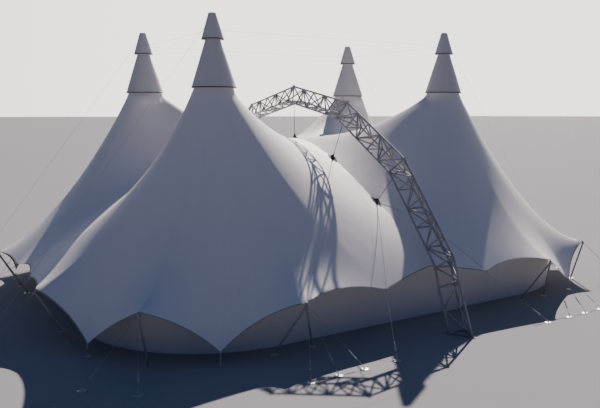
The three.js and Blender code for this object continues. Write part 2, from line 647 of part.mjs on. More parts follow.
const roofWithStraps = union([roof, ...tips.low.map(lowTipStrap)]);
for (const [sideX, sideY] of quarters) {
  const place = `${front[sideY]}_${left[sideX]}`;
  const x = sideX * MAST.x, y = sideY * MAST.y;
  add(`canopy_${place}`, mirrored(roofWithStraps, sideX, sideY), material(COLOURS.fabric, 0.85, 0));
  add(`mast_${place}`, mast(x, y), material(COLOURS.mast, 0.4, 0.6));
  add(`upper_cap_${place}`, upperCap(x, y), material(COLOURS.cap, 0.8, 0));
  add(`lower_cap_${place}`, lowerCap(x, y), material(COLOURS.cap, 0.8, 0));
  add(`side_poles_${place}`, tipStay('sideways', sideX, sideY), steel());
  add(`end_poles_${place}`, tipStay('endways', sideX, sideY), steel());
  add(`corner_pole_${place}`, tipStay('corner', sideX, sideY), steel());
  add(`long_side_guy_${place}`, tipStay('longSide', sideX, sideY), steel());
  add(`short_side_guy_${place}`, tipStay('shortSide', sideX, sideY), steel());
}

const ring = wallRing();
const wallSides = [
  ['left', at(LEFT, 0, 0)], ['right', at(RIGHT, 0, 0)],
  ['front', at(0, FRONT, 0)], ['back', at(0, BACK, 0)],
];
for (const [name, outwards] of wallSides) {
  add(`wall_${name}`, wallPiece(ring, outwards), material(COLOURS.wall, 0.85, 0));
}

add('ridge_hanger_middle', ridgeHanger(0, FRONT), material(COLOURS.plate, 0.5, 0.5));
for (const side of [FRONT, BACK]) {
  add(`arch_crown_${front[side]}`, archSection(0, side), steel());
  add(`arch_shoulder_${front[side]}`, archSection(1, side), steel());
  add(`arch_leg_${front[side]}`, archSection(2, side), steel());
  add(`arch_base_${front[side]}`, archBase(side), steel());
  add(`ridge_hanger_${front[side]}_upper`, ridgeHanger(1, side), material(COLOURS.plate, 0.5, 0.5));
  add(`ridge_hanger_${front[side]}_lower`, ridgeHanger(2, side), material(COLOURS.plate, 0.5, 0.5));
}
add('mast_cables', mastCables(), material(COLOURS.rope, 0.5, 0.4));

export default tent;
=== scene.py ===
"""The looks of the four-mast marquee, in metres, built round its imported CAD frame."""
import math

import bpy
import numpy as np
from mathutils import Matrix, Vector
from mathutils.bvhtree import BVHTree


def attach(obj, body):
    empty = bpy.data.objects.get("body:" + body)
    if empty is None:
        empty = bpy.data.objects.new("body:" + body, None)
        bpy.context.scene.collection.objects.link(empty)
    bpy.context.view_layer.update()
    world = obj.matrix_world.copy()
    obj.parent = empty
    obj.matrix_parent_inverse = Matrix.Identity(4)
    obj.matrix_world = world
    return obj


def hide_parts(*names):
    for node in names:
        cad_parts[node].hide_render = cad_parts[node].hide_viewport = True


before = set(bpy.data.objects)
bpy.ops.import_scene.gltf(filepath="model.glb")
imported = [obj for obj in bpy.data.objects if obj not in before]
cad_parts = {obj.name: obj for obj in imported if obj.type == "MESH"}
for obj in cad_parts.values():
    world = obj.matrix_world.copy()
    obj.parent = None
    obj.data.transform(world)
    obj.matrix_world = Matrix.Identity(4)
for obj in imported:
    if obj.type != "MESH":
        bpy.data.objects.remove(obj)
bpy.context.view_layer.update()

# Driving dimensions, as in the CAD source

MAST = dict(x=8.0, y=5.52, radius=0.15, top=15.77)
MAST_BASE = dict(radius=0.35, thickness=0.025)
UPPER_CAP = dict(bottom=14.45, bottom_radius=0.6, top=15.8, top_radius=0.19)
LOWER_CAP = dict(bottom=11.98, bottom_radius=1.185, top=14.65, top_radius=0.318)
NECK = dict(top=12.1, top_radius=0.982, foot=11.347, foot_radius=1.313)
HIGH_TIP = dict(reach=9.225, z=2.5)
CORNER_TIP = dict(reach=9.175, z=2.5)
LOW_TIP = dict(reach=8.6, z=0.55, spread=21.1)
LONG_SIDE_TIP = Vector((3.375, 14.39, 2.35))
SHORT_SIDE_TIP = Vector((16.875, 1.95, 2.35))
RIDGE_POINTS = [(0.0, 9.085), (4.575, 7.96), (9.0, 5.705)]
RIDGE_PLATE = dict(length=1.0, width=0.42)
WALL_RADIUS = 7.03
POLE = dict(radius=0.05, foot=8.0, half_spread=1.0, corner_foot=8.525)
GUY = dict(reach=11.7, spread=1.32, corner_spread=5.7)
LONG_SIDE_ANCHOR = Vector((4.965, 17.24, 0))
SHORT_SIDE_ANCHOR = Vector((19.72, 3.55, 0))
MAST_CABLE = dict(z=14.95, eye=0.52, anchor_offset=0.11)
CHORD, BRACE = 0.06, 0.044
ARCH = dict(half_width=0.53, depth=0.918, bays=5,
            outer=[(0.0, 12.4), (6.15, 11.3), (11.45, 8.3), (15.37, 3.7)])
ARCH_BASE = dict(frame_inner=(14.925, 2.15), frame_outer=(15.8, 2.6), foot_inner=(15.74, 0.025),
                 foot_outer=(16.79, 0.025), plate=0.19)

# Sizes that only the looks have

SHEET = 0.008                    # thickness of the fabric that shows
NECK_CREST = dict(lift=0.3, width=18.0)      # towards the tent's middle; the width is in degrees of bearing
EDGE_BELT = dict(width=0.06, thickness=0.014, fold=0.006)
RIDGE_BELT = dict(width=0.04, low=0.005, high=0.01, start=(0.14, 0.22), share=0.985, steps=60)
TIP_PATCH = dict(rows=(-1, 0), columns=(-1, 0, 1), near=0.0003, far=0.002, look=1)
TIP_CLAMP = dict(rows=(-0.2, -0.1, 0), columns=(-0.25, -0.12, 0, 0.12, 0.25), near=0.001, far=0.01)
CREASE_STRIP = dict(width=0.09, rise=0.009, drop=0.004, thickness=0.006)
STRAP = dict(width=0.06, thickness=0.005, plate=0.14, pins=0.68)
CAP = dict(gores=8, facets=8, gather=0.012, hem=0.06, hem_proud=0.004, dome=0.006)
NECK_RING = dict(z=NECK["top"] + 0.024, radius=0.955, bar=0.024)
WIRE, HEAD_CABLE, HANGER_WIRE = 0.007, 0.0055, 0.018         # radii
SCREW = dict(length=0.42, bar=0.011, half_width=0.032)
WALL = dict(step=0.14, arc_steps=40, gap=0.018, panel=2.45, slack=0.004, hem=0.11, hem_proud=0.003)

# Outlines of turned fittings, as (radius, height), and of upright plates, as (reach, height)

ANCHOR_PLATE = [(0.194, 0), (0.2, 0.006), (0.2, 0.016), (0.19, 0.022), (0.1, 0.03)]
STAKE_HEAD = [(0.026, 0), (0.028, 0.006), (0.028, 0.022), (0.02, 0.03)]
PIN_HEAD = [(0.02, 0), (0.022, 0.004), (0.018, 0.014), (0.008, 0.018)]
POLE_HEAD = [(0.058, 0), (0.066, 0.012), (0.066, 0.1), (0.05, 0.135), (0.03, 0.165), (0.012, 0.178)]
SCREW_END = [(0.024, 0), (0.028, 0.008), (0.028, 0.05), (0.022, 0.06)]
ANCHOR_LUG = [(-0.05, 0), (0.06, 0), (0.04, 0.07), (0.005, 0.07)]
POLE_LUG = [(-0.05, 0), (0.05, 0), (0.028, 0.085), (-0.028, 0.085)]
RATCHET_CHEEK = [(-0.03, -0.06), (0.035, -0.06), (0.045, 0.03), (0.01, 0.07), (-0.03, 0.06)]
MAST_GUSSET = [(0, 0), (0.16, 0), (0.16, 0.03), (0.02, 0.2), (0, 0.2)]
FOOT_GUSSET = [(0, 0), (0.12, 0), (0.12, 0.02), (0, 0.15)]

QUARTERS = {"front_left": (-1, -1), "front_right": (1, -1), "back_left": (-1, 1), "back_right": (1, 1)}
HALVES = (("front", -1), ("back", 1))
SIDES = (-1, 1)

# Places and directions

UP = Vector((0, 0, 1))
MAST_FOOT = Vector((MAST["x"], MAST["y"], 0))


def up(z):
    return Vector((0, 0, z))


def level(v):
    return Vector((v.x, v.y, 0))


def bearing(degrees):
    angle = math.radians(degrees)
    return Vector((math.cos(angle), math.sin(angle), 0))


def bearings(count, first=0.0):
    """Level directions all round, evenly, from the first one."""
    return [bearing(first + 360 * k / count) for k in range(count)]


def polar(reach, degrees, z=0.0):
    """A point at that reach and bearing from the mast of the back right quarter."""
    angle = math.radians(degrees)
    return Vector((MAST["x"] + reach * math.cos(angle), MAST["y"] + reach * math.sin(angle), z))


def from_mast(x, y):
    return Vector((MAST["x"] + x, MAST["y"] + y, 0))


def lerp(a, b, share):
    return a + (b - a) * share


def unit(vectors):
    return vectors / np.maximum(np.linalg.norm(vectors, axis=-1, keepdims=True), 1e-12)


def lengths(points):
    """How far each row of points lies from the first one, measured along them."""
    steps = np.linalg.norm(np.diff(points, axis=0), axis=-1)
    return np.concatenate([np.zeros_like(steps[:1]), np.cumsum(steps, axis=0)])


def square_to(direction):
    """Two directions that are square to that one and to each other."""
    side = UP if abs(direction.z) < 0.9 else Vector((1, 0, 0))
    normal = direction.cross(side).normalized()
    return normal, direction.cross(normal)


def circle(centre, u, v, radius, count, turn=1):
    """Points round a centre, from u towards v, or the other way with a turn of -1."""
    return [centre + (u * math.cos(t) + v * math.sin(t)) * radius
            for t in (turn * 2 * math.pi * k / count for k in range(count))]


def rim_of(rows):
    """The points round the rim of a grid, from its first corner."""
    rows = [list(row) for row in rows]
    return [row[0] for row in rows] + rows[-1][1:] + [row[-1] for row in rows[-2::-1]] + rows[0][-2:0:-1]


# Pieces, gathered part by part


class Piece:
    """The points and faces of one piece, with a lay map: round or across, then along, in metres."""

    def __init__(self):
        self.points, self.faces, self.lay, self.looks = [], [], [], []
        self.normals = []            # of each face's corners, for a piece that brings its own

    def add(self, points, faces, lay=None, look=0):
        base = len(self.points)
        self.points.extend(tuple(p) for p in points)
        self.faces.extend(tuple(base + i for i in face) for face in faces)
        self.lay.extend(lay or [[(0.0, 0.0)] * len(face) for face in faces])
        self.looks.extend([look] * len(faces))

    def grid(self, rows, lay=None, look=0, around=False, flip=False):
        """A surface through rows of points. `around` closes each row on itself."""
        count = len(rows[0])
        faces, maps = [], []
        for r in range(len(rows) - 1):
            for c in range(count if around else count - 1):
                d = (c + 1) % count
                corners = [(r, c, c), (r + 1, c, c), (r + 1, d, c + 1), (r, d, c + 1)]
                if flip:
                    corners.reverse()
                faces.append(tuple(row * count + column for row, column, _ in corners))
                if lay:
                    maps.append([lay(row, column) for row, _, column in corners])
        self.add([p for row in rows for p in row], faces, maps, look)

    def ends(self, rings, look=0):
        """The two end faces of a run of rings whose sides face outwards."""
        for ring in (rings[0], rings[-1][::-1]):
            self.add(ring, [range(len(ring))], None, look)

    def plate(self, upper, lower, lay=None, look=0, flip=False):
        """A plate from its two faces, each as rows of points, and the rim between them."""
        self.grid(upper, lay, look, flip=flip)
        self.grid(lower, lay, look, flip=not flip)
        self.grid([rim_of(upper), rim_of(lower)], None, look, around=True, flip=flip)

    def tube(self, path, radius, sides=12, look=0, closed=False):
        """A round bar along a path. With one radius for each point it is a turned shape."""
        path = [Vector(p) for p in path]
        count = len(path)
        radii = radius if isinstance(radius, list) else [radius] * count
        rings, normal = [], None
        for k, point in enumerate(path):
            ahead = path[(k + 1) % count] if closed or k + 1 < count else point
            behind = path[k - 1] if closed or k > 0 else point
            tangent = (ahead - behind).normalized()
            if normal is None:
                normal = square_to(tangent)[0]
            else:
                normal = (normal - tangent * normal.dot(tangent)).normalized()
            rings.append(circle(point, normal, tangent.cross(normal), radii[k], sides)[::-1])
        along = lengths(path).tolist()
        if closed:
            rings.append(rings[0])
            along.append(along[-1])
        self.grid(rings, lambda r, c: (c / sides, along[r]), look, around=True)
        if not closed:
            self.ends(rings, look)

    def turned(self, base, direction, outline, sides=16, look=0):
        """A solid turned about an axis: its outline as (radius, height) from its foot to its top."""
        direction = Vector(direction).normalized()
        u, v = square_to(direction)
        rings = [circle(base + direction * height, u, v, radius, sides, -1) for radius, height in outline]
        self.grid(rings, lambda r, c: (c / sides, outline[r][1]), look, around=True)
        self.ends(rings, look)

    def disc(self, base, direction, radius, thickness, sides=24, chamfer=0.004, look=0):
        """A round plate with a chamfered edge."""
        inset = radius - chamfer
        self.turned(base, direction, [(inset, 0), (radius, chamfer), (radius, thickness - chamfer),
                                      (inset, thickness)], sides, look)

    def bolt(self, base, direction, size, look=0):
        """A hexagonal nut with the end of its bolt."""
        self.turned(base, direction, [(size, 0), (size, size * 0.7), (size * 0.85, size * 0.9)], 6, look)
        self.turned(base, direction, [(size * 0.5, size * 0.8), (size * 0.45, size * 1.5)], 8, look)

    def bolts(self, centre, radius, count, first, size, look=0):
        """Upright bolts in a circle."""
        for out in bearings(count, first):
            self.bolt(centre + out * radius, UP, size, look)

    def slab(self, corners, rise, chamfer=0.002, look=0):
        """A flat plate: its corners, and the vector from one face to the other."""
        centre = sum(corners, Vector()) / len(corners)
        area = sum(((a - centre).cross(b - centre) for a, b in zip(corners, corners[1:])), Vector())
        if area.dot(rise) > 0:
            corners = corners[::-1]
        inset = [p + (centre - p).normalized() * chamfer for p in corners]
        step = rise.normalized() * chamfer
        rings = [inset, [p + step for p in corners], [p + rise - step for p in corners],
                 [p + rise for p in inset]]
        self.grid(rings, None, look, around=True)
        self.ends(rings, look)

    def fin(self, base, out, outline, thickness, look=0):
        """An upright plate, its outline as (reach, height) in that direction from its base."""
        half = UP.cross(out) * thickness / 2
        corners = [base - half + out * reach + up(height) for reach, height in outline]
        self.slab(corners, half * 2, look=look)

    def ring(self, centre, axis, radius, thickness, steps=20, sides=8, look=0):
        """A round eye."""
        u, v = square_to(Vector(axis).normalized())
        self.tube(circle(centre, u, v, radius, steps), thickness, sides, look, closed=True)

    def sleeve(self, a, b, taper, inner, outer, sides, look=0):
        """A sleeve on a bar, its ends tapered over that length."""
        step = (b - a).normalized() * taper
        self.tube([a, a + step, b - step, b], [inner, outer, outer, inner], sides, look)

    def mirrored(self, sign_x, sign_y):
        """A copy across the middle of the tent."""
        copy, turn = Piece(), sign_x * sign_y
        copy.points = [(x * sign_x, y * sign_y, z) for x, y, z in self.points]
        copy.faces = [face[::turn] for face in self.faces]
        copy.lay = [values[::turn] for values in self.lay]
        copy.looks = list(self.looks)
        copy.normals = [(np.array(corners) * (sign_x, sign_y, 1))[::turn] for corners in self.normals]
        return copy

    def joined(self, other):
        self.add(other.points, other.faces, other.lay)
        self.looks[-len(other.faces):] = other.looks

    def settled(self, name, looks, slot, *nodes):
        """The piece as an object that rides on the tent, in place of the CAD nodes it stands for."""
        mesh = bpy.data.meshes.new(name)
        mesh.from_pydata(self.points, [], self.faces)
        for look in looks:
            mesh.materials.append(look)
        mesh.polygons.foreach_set("material_index", self.looks)
        lay = mesh.uv_layers.new(name="lay")
        lay.data.foreach_set("uv", np.array([v for values in self.lay for v in values], np.float32).ravel())
        mesh.shade_smooth()
        mesh.set_sharp_from_angle(angle=math.radians(40))
        mesh.update()
        if self.normals:
            mesh.normals_split_custom_set(np.concatenate(self.normals).tolist())
        piece = bpy.data.objects.new(name, mesh)
        bpy.context.scene.collection.objects.link(piece)
        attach(piece, "root")
        if nodes:
            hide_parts(*nodes)
        return piece


def in_quarters(piece, name, looks, slot, node):
    """The piece in all four quarters, each in place of its own node."""
    for place, signs in QUARTERS.items():
        yield place, piece.mirrored(*signs).settled(f"{name}_{place}", looks, slot, f"{node}_{place}")


# Materials


class Nodes:
    """The node tree of a material or of the world, built from plain calls."""

    def __init__(self, owner):
        owner.use_nodes = True
        self.owner, self.tree = owner, owner.node_tree

    def node(self, kind, inputs=None, **settings):
        node = self.tree.nodes.new(kind)
        for key, value in settings.items():
            setattr(node, key, value)
        for key, value in (inputs or {}).items():
            self.feed(node.inputs[key], value)
        return node

    def feed(self, socket, value):
        if isinstance(value, bpy.types.Node):
            value = value.outputs[0]
        if isinstance(value, bpy.types.NodeSocket):
            self.tree.links.new(value, socket)
        else:
            socket.default_value = value

    def math(self, operation, a, b=0.0):
        return self.node("ShaderNodeMath", {0: a, 1: b}, operation=operation).outputs[0]

    def times(self, a, b):
        return self.math("MULTIPLY", a, b)

    def ramp(self, value, low, high, to_low=0.0, to_high=1.0):
        """The value spread from low..high to to_low..to_high, held at both ends."""
        inputs = dict(enumerate((value, low, high, to_low, to_high)))
        return self.node("ShaderNodeMapRange", inputs, interpolation_type="SMOOTHSTEP").outputs[0]

    def noise(self, vector, scale, detail=4.0, roughness=0.5):
        inputs = {"Vector": vector, "Scale": scale, "Detail": detail, "Roughness": roughness}
        return self.node("ShaderNodeTexNoise", inputs).outputs[0]

    def mix(self, share, *colours):
        a, b = ((*c, 1.0) if isinstance(c, tuple) else c for c in colours)
        return self.node("ShaderNodeMix", {0: share, 6: a, 7: b}, data_type="RGBA").outputs[2]

    def bump(self, height, distance, strength=1.0, normal=None):
        inputs = {"Height": height, "Distance": distance, "Strength": strength}
        if normal:
            inputs["Normal"] = normal
        return self.node("ShaderNodeBump", inputs).outputs[0]

    def place(self):
        return self.node("ShaderNodeTexCoord").outputs["Object"]

    def lay(self):
        """The lay map's two numbers."""
        split = self.node("ShaderNodeSeparateXYZ", {0: self.node("ShaderNodeUVMap", uv_map="lay")})
        return split.outputs[0], split.outputs[1]

    def done(self, colour, roughness, normal, metallic=0.0, specular=0.5, sheen=0.0):
        shader = self.tree.nodes["Principled BSDF"]
        inputs = {"Base Color": colour, "Roughness": roughness, "Normal": normal, "Metallic": metallic,
                  "Specular IOR Level": specular, "Sheen Weight": sheen}
        for key, value in inputs.items():
            self.feed(shader.inputs[key], value)
        return self.owner


def material(name):
    return Nodes(bpy.data.materials.new(name))


def darker(colour, share):
    return tuple(min(1.0, share * c) for c in colour)


def fabric_look(name, clean, worn, seam_width=0.014, seam=0.12, dust=0.2, wrinkle=0.012):
    """Coated tent fabric: a fine weave, welded seams, faint dust and long soft wrinkles."""
    nodes = material(name)
    place = nodes.place()
    across, along = nodes.lay()

    def drawn_out(across_scale, along_scale, detail):
        """Noise that is drawn out along the fabric."""
        return nodes.noise(nodes.node("ShaderNodeCombineXYZ", {
            0: nodes.times(across, across_scale), 1: nodes.times(along, along_scale)}), 1.0, detail)

    from_seam = nodes.math("PINGPONG", across, 0.5)
    weld = nodes.ramp(from_seam, seam_width, seam_width * 1.25, 1.0, 0.0)
    from_weld = nodes.math("ABSOLUTE", nodes.math("SUBTRACT", from_seam, seam_width * 0.9))
    weld_edge = nodes.ramp(from_weld, 0.0, seam_width * 0.16, 1.0, 0.0)
    cloud = nodes.ramp(nodes.noise(place, 0.22, 5.0, 0.6), 0.35, 0.75)
    dusty = nodes.times(cloud, nodes.ramp(drawn_out(3.0, 0.22, 4.0), 0.3, 0.75))
    colour = nodes.mix(nodes.times(dusty, dust), clean, worn)
    colour = nodes.mix(nodes.times(weld, seam), colour, darker(clean, 0.86))
    colour = nodes.mix(nodes.times(weld_edge, seam), colour, worn)
    weave = nodes.times(*(nodes.node("ShaderNodeTexWave", {"Vector": place, "Scale": 70.0},
                                     bands_direction=bands).outputs[1] for bands in ("X", "DIAGONAL")))
    roughness = nodes.ramp(nodes.noise(place, 1.3), 0.3, 0.7, 0.5, 0.64)
    bump = nodes.bump(drawn_out(2.2, 0.35, 3.0), wrinkle, 0.5)
    bump = nodes.bump(weld, 0.003, 0.6, bump)
    bump = nodes.bump(weave, 0.0006, 0.35, bump)
    return nodes.done(colour, roughness, bump, specular=0.35, sheen=0.08)


def steel_look(name, colour, worn, metallic, rough=(0.38, 0.6)):
    """Painted or galvanised steel: mottled, with scuffs and dust spread by noise."""
    nodes = material(name)
    place = nodes.place()
    drawn_up = nodes.node("ShaderNodeVectorMath", {0: place, 1: (1.0, 1.0, 0.35)}, operation="MULTIPLY")
    patches, scuffs = nodes.noise(place, 2.4, 6.0, 0.65), nodes.noise(drawn_up, 21.0, 6.0, 0.7)
    base = nodes.mix(nodes.ramp(patches, 0.3, 0.7), colour, darker(colour, 0.72))
    colour = nodes.mix(nodes.times(nodes.ramp(scuffs, 0.56, 0.72), 0.7), base, worn)
    metal = nodes.ramp(scuffs, 0.5, 0.75, metallic, min(1.0, metallic + 0.2))
    return nodes.done(colour, nodes.ramp(patches, 0.3, 0.75, *rough), nodes.bump(scuffs, 0.0015, 0.5), metal)


def wire_look(name, colour, worn, metallic, strands=6.0, pitch=0.16):
    """Laid wire: strands that wind round the cable, darkened in the grooves between them as painted shade."""
    nodes = material(name)
    round_it, along = nodes.lay()
    turn = nodes.math("ADD", nodes.times(round_it, strands), nodes.times(along, strands / pitch))
    strand = nodes.math("ABSOLUTE", nodes.math("SINE", nodes.times(turn, math.pi)))
    dirt = nodes.noise(nodes.place(), 5.0, 5.0)
    # painted shade: the colour darkens in the grooves between the strands
    shaded = nodes.mix(nodes.ramp(strand, 0.0, 0.6, 1.0, 0.0), colour, darker(colour, 0.35))
    colour = nodes.mix(nodes.ramp(dirt, 0.5, 0.75, 0.0, 0.6), shaded, worn)
    return nodes.done(colour, nodes.ramp(dirt, 0.3, 0.7, 0.35, 0.6), nodes.bump(strand, 0.004, 0.8), metallic)


def webbing_look(name, colour, worn, rib_pitch=0.012):
    """Woven polyester webbing: ribs across it and two stitch lines along it."""
    nodes = material(name)
    across, along = nodes.lay()
    rib = nodes.math("ABSOLUTE", nodes.math("SINE", nodes.times(along, math.pi / rib_pitch)))
    from_stitch = nodes.math("ABSOLUTE", nodes.math("SUBTRACT", nodes.math("PINGPONG", across, 0.5), 0.12))
    stitch = nodes.times(nodes.ramp(from_stitch, 0.01, 0.03, 1.0, 0.0), nodes.ramp(rib, 0.4, 0.6))
    dirt = nodes.noise(nodes.place(), 3.0, 5.0, 0.6)
    base = nodes.mix(nodes.ramp(dirt, 0.35, 0.75), colour, worn)
    base = nodes.mix(nodes.times(stitch, 0.6), base, darker(colour, 1.4))
    return nodes.done(base, nodes.ramp(dirt, 0.3, 0.7, 0.7, 0.88), nodes.bump(rib, 0.0015, 0.7), sheen=0.2)


CANOPY_FABRIC = fabric_look("canopy_fabric", (0.82, 0.79, 0.75), (0.66, 0.64, 0.62))
# The caps are of the canopy's fabric; their darker colour here is painted shade, not a darker cloth.
CAP_FABRIC_PAINTED_SHADE = fabric_look("cap_fabric", (0.64, 0.63, 0.62), (0.54, 0.53, 0.52), seam_width=0.03, seam=0.2)
WALL_FABRIC = fabric_look("wall_fabric", (0.72, 0.70, 0.68), (0.6, 0.58, 0.56), seam_width=0.012, dust=0.3,
                          wrinkle=0.004)
BELT_WEBBING = webbing_look("edge_webbing", (0.36, 0.36, 0.37), (0.27, 0.265, 0.26))
# Near-black band at the caps' hems: a real hem band whose dark colour is painted shadow of the gap under each
# cap's edge.
HEM_BAND_PAINTED_SHADOW = webbing_look("hem_band_painted_shadow", (0.1, 0.1, 0.105), (0.16, 0.155, 0.15))
STRAP_WEBBING = webbing_look("strap_webbing", (0.55, 0.54, 0.52), (0.4, 0.38, 0.36))
ARCH_STEEL = steel_look("arch_steel", (0.37, 0.37, 0.38), (0.48, 0.475, 0.47), 0.1, rough=(0.62, 0.82))
MAST_STEEL = steel_look("mast_steel", (0.42, 0.43, 0.45), (0.6, 0.6, 0.6), 0.8)
POLE_STEEL = steel_look("pole_steel", (0.36, 0.35, 0.35), (0.5, 0.49, 0.48), 0.15)
DARK_STEEL = steel_look("hanger_steel", (0.05, 0.047, 0.055), (0.09, 0.085, 0.09), 0.0, rough=(0.7, 0.88))
BRIGHT_STEEL = steel_look("fitting_steel", (0.55, 0.55, 0.56), (0.36, 0.33, 0.3), 0.55, rough=(0.3, 0.52))
ROPE_STEEL = wire_look("rope_steel", (0.6, 0.6, 0.61), (0.45, 0.44, 0.43), 0.2)
HANGER_STEEL = wire_look("hanger_wire", (0.12, 0.12, 0.13), (0.2, 0.19, 0.18), 0.5)

# The roof's shape: a net that settles where the pulls of its links balance

ROWS, NECK_ROWS = 40, 8
COLUMN_SHARE, ROW_SHARE = 2, ROWS / 10       # for each column and row of the net the densities belong to
DENSITY = dict(crest=8.761, crest_width=10.043, inner=0.571, tip_belt=5.0,      # a plain radial link has 1
               hoop=3.96, hoop_at_edge=1.549, hoop_at_neck=3.228, hoop_fade=7.419)
SETTLED = 1e-16                  # share of the first pull, squared, at which the net is at rest
CROSS_LINE, EDGE, RIDGE = "y = 0", "edge", "x = 0"

TIP = dict(
    short_side=SHORT_SIDE_TIP,
    sideways=polar(HIGH_TIP["reach"], 0, HIGH_TIP["z"]),
    low_right=polar(LOW_TIP["reach"], 45 - LOW_TIP["spread"], LOW_TIP["z"]),
    corner=polar(CORNER_TIP["reach"], 45, CORNER_TIP["z"]),
    low_back=polar(LOW_TIP["reach"], 45 + LOW_TIP["spread"], LOW_TIP["z"]),
    endways=polar(HIGH_TIP["reach"], 90, HIGH_TIP["z"]),
    long_side=LONG_SIDE_TIP,
)

# From the middle anticlockwise: name, where it starts, held there, columns, its line and its pull
OUTLINE = [
    ("centre", Vector((0, 0, RIDGE_POINTS[0][1])), True, 18, CROSS_LINE, 0.286),
    ("short_edge", Vector((16.5, 0, 2.6)), False, 4, EDGE, 123.92),
    ("short_side", TIP["short_side"], True, 8, EDGE, 60.161),
    ("sideways", TIP["sideways"], True, 8, EDGE, 37.263),
    ("low_right", TIP["low_right"], True, 8, EDGE, 39.927),
    ("corner", TIP["corner"], True, 8, EDGE, 30.713),
    ("low_back", TIP["low_back"], True, 8, EDGE, 21.305),
    ("endways", TIP["endways"], True, 8, EDGE, 15.58),
    ("long_side", TIP["long_side"], True, 6, EDGE, 143.117),
    ("long_edge", Vector((0, 13.6, 2.7)), False, 8, RIDGE, 11.848),
    ("ridge_2", Vector((0, *RIDGE_POINTS[2])), True, 8, RIDGE, 36.541),
    ("ridge_1", Vector((0, *RIDGE_POINTS[1])), True, 8, RIDGE, 36.541),
]


def outline_columns():
    """The first column of each stretch, then for every column its start and what holds and pulls it."""
    first_column, columns = {}, []
    for k, (name, start, held, count, line, pull) in enumerate(OUTLINE):
        end = OUTLINE[(k + 1) % len(OUTLINE)][1]
        first_column[name] = len(columns)
        for step in range(count * COLUMN_SHARE):
            first = step == 0
            columns.append((lerp(start, end, step / (count * COLUMN_SHARE)), first and held, line == EDGE,
                            line == CROSS_LINE or (first and name == "short_edge"),
                            line == RIDGE or (first and name == "centre"), pull))
    return first_column, *(np.array(values) for values in zip(*columns))


FIRST_COLUMN, STARTS, HELD, AT_EDGE, ON_CROSS, ON_RIDGE, PULL = outline_columns()


def settle_net():
    """The settled net as rows of points from the neck's top to the edge."""
    angle = np.arctan2(STARTS[:, 1] - MAST["y"], STARTS[:, 0] - MAST["x"])
    from_crest = np.degrees(np.angle(np.exp(1j * (angle - angle[0]))))
    share = np.linspace(0, 1, ROWS + 1)
    radial = 1 + DENSITY["crest"] * np.exp(-(from_crest / DENSITY["crest_width"]) ** 2) \
        + np.where(AT_EDGE, 0, DENSITY["inner"])
    tip_belt = (HELD & AT_EDGE) * DENSITY["tip_belt"] * COLUMN_SHARE
    radial = radial + tip_belt * share[1:, None]
    plain_hoop = DENSITY["hoop"] * (COLUMN_SHARE / ROW_SHARE) ** 2
    hoop = plain_hoop * (1 + DENSITY["hoop_at_edge"] * share
                         + DENSITY["hoop_at_neck"] * np.exp(-DENSITY["hoop_fade"] * share))
    hoop = np.repeat(hoop[:, None], len(STARTS), 1)
    hoop[0] = 0
    hoop[ROWS] = np.where(AT_EDGE, 0, plain_hoop / 2) + PULL * COLUMN_SHARE ** 2 / ROW_SHARE

    outward = np.stack([np.cos(angle), np.sin(angle), np.zeros_like(angle)], 1)
    axis = np.array([MAST["x"], MAST["y"], 0.0])
    neck = axis + outward * NECK["foot_radius"] + np.array([0, 0, NECK["foot"]])
    neck[:, 2] += NECK_CREST["lift"] * np.exp(-(from_crest / NECK_CREST["width"]) ** 2)
    points = lerp(neck, STARTS, share[:, None, None])
    free = np.ones_like(points)
    free[0] = 0
    free[ROWS, HELD] = 0
    for mirror, across in ((ON_RIDGE, 0), (ON_CROSS, 1)):
        free[ROWS, mirror, across] = 0
        points[ROWS, mirror, across] = 0

    def pull(place):
        out = np.zeros_like(place)
        outwards = radial[:, :, None] * (place[1:] - place[:-1])
        out[:-1] += outwards
        out[1:] -= outwards
        around = hoop[:, :, None] * (np.roll(place, -1, 1) - place)
        return out + around - np.roll(around, 1, 1)

    # conjugate gradients
    residual = pull(points) * free
    direction = residual.copy()
    size = float((residual ** 2).sum())
    settled = size * SETTLED
    while size > settled:
        change = pull(direction) * free
        step = -size / float((direction * change).sum())
        points += step * direction
        residual += step * change
        new_size = float((residual ** 2).sum())
        direction = residual + direction * (new_size / size)
        size = new_size

    # the neck runs up from the net in one curve, along each column
    top = axis + outward * NECK["top_radius"] + np.array([0, 0, NECK["top"]])
    reach = np.linalg.norm(points[0] - top, axis=1, keepdims=True)
    bend = points[0] - unit(points[1] - points[0]) * reach / 2
    share = (np.arange(NECK_ROWS) / NECK_ROWS)[:, None, None]
    return np.concatenate([lerp(lerp(top, bend, share), lerp(bend, points[0], share), share), points])


NET = settle_net()
BESIDE = np.roll(NET, -1, 1)     # the next column's points
LAST, COLUMNS = len(NET) - 1, NET.shape[1]


def surface_normals():
    """The net's normals, one-sided at the crease along x = 0 and true to the mirror at y = 0."""
    around = unit(BESIDE - NET) + unit(NET - np.roll(NET, 1, 1))
    outwards = np.zeros_like(NET)
    outwards[1:] += unit(NET[1:] - NET[:-1])
    outwards[:-1] += unit(NET[1:] - NET[:-1])
    normals = unit(np.cross(unit(outwards), unit(around)))
    normals[LAST, ON_CROSS, 1] = 0
    return unit(normals)


NORMALS = surface_normals()
OFFSETS = NORMALS.copy()         # for moving a point off the surface without leaving its mirror plane
OFFSETS[LAST, ON_RIDGE, 0] = 0
OFFSETS = unit(OFFSETS)

# Lay map of the roof: across in panels, whose seams run out from the neck, and along in metres
PANELS = 30
PERIMETER = lengths(np.concatenate([NET[LAST], NET[LAST, :1]]))
ACROSS = PERIMETER / PERIMETER[-1] * PANELS
ALONG = lengths(NET)


def roof_lay(row, column):
    return float(ACROSS[column]), float(ALONG[row, column % COLUMNS])


def triangle_area(a, b, c):
    return float(np.linalg.norm(np.cross(b - a, c - a), axis=-1).sum() / 2)


def roof_at(offset):
    """The net, moved off the surface."""
    return NET + OFFSETS * offset


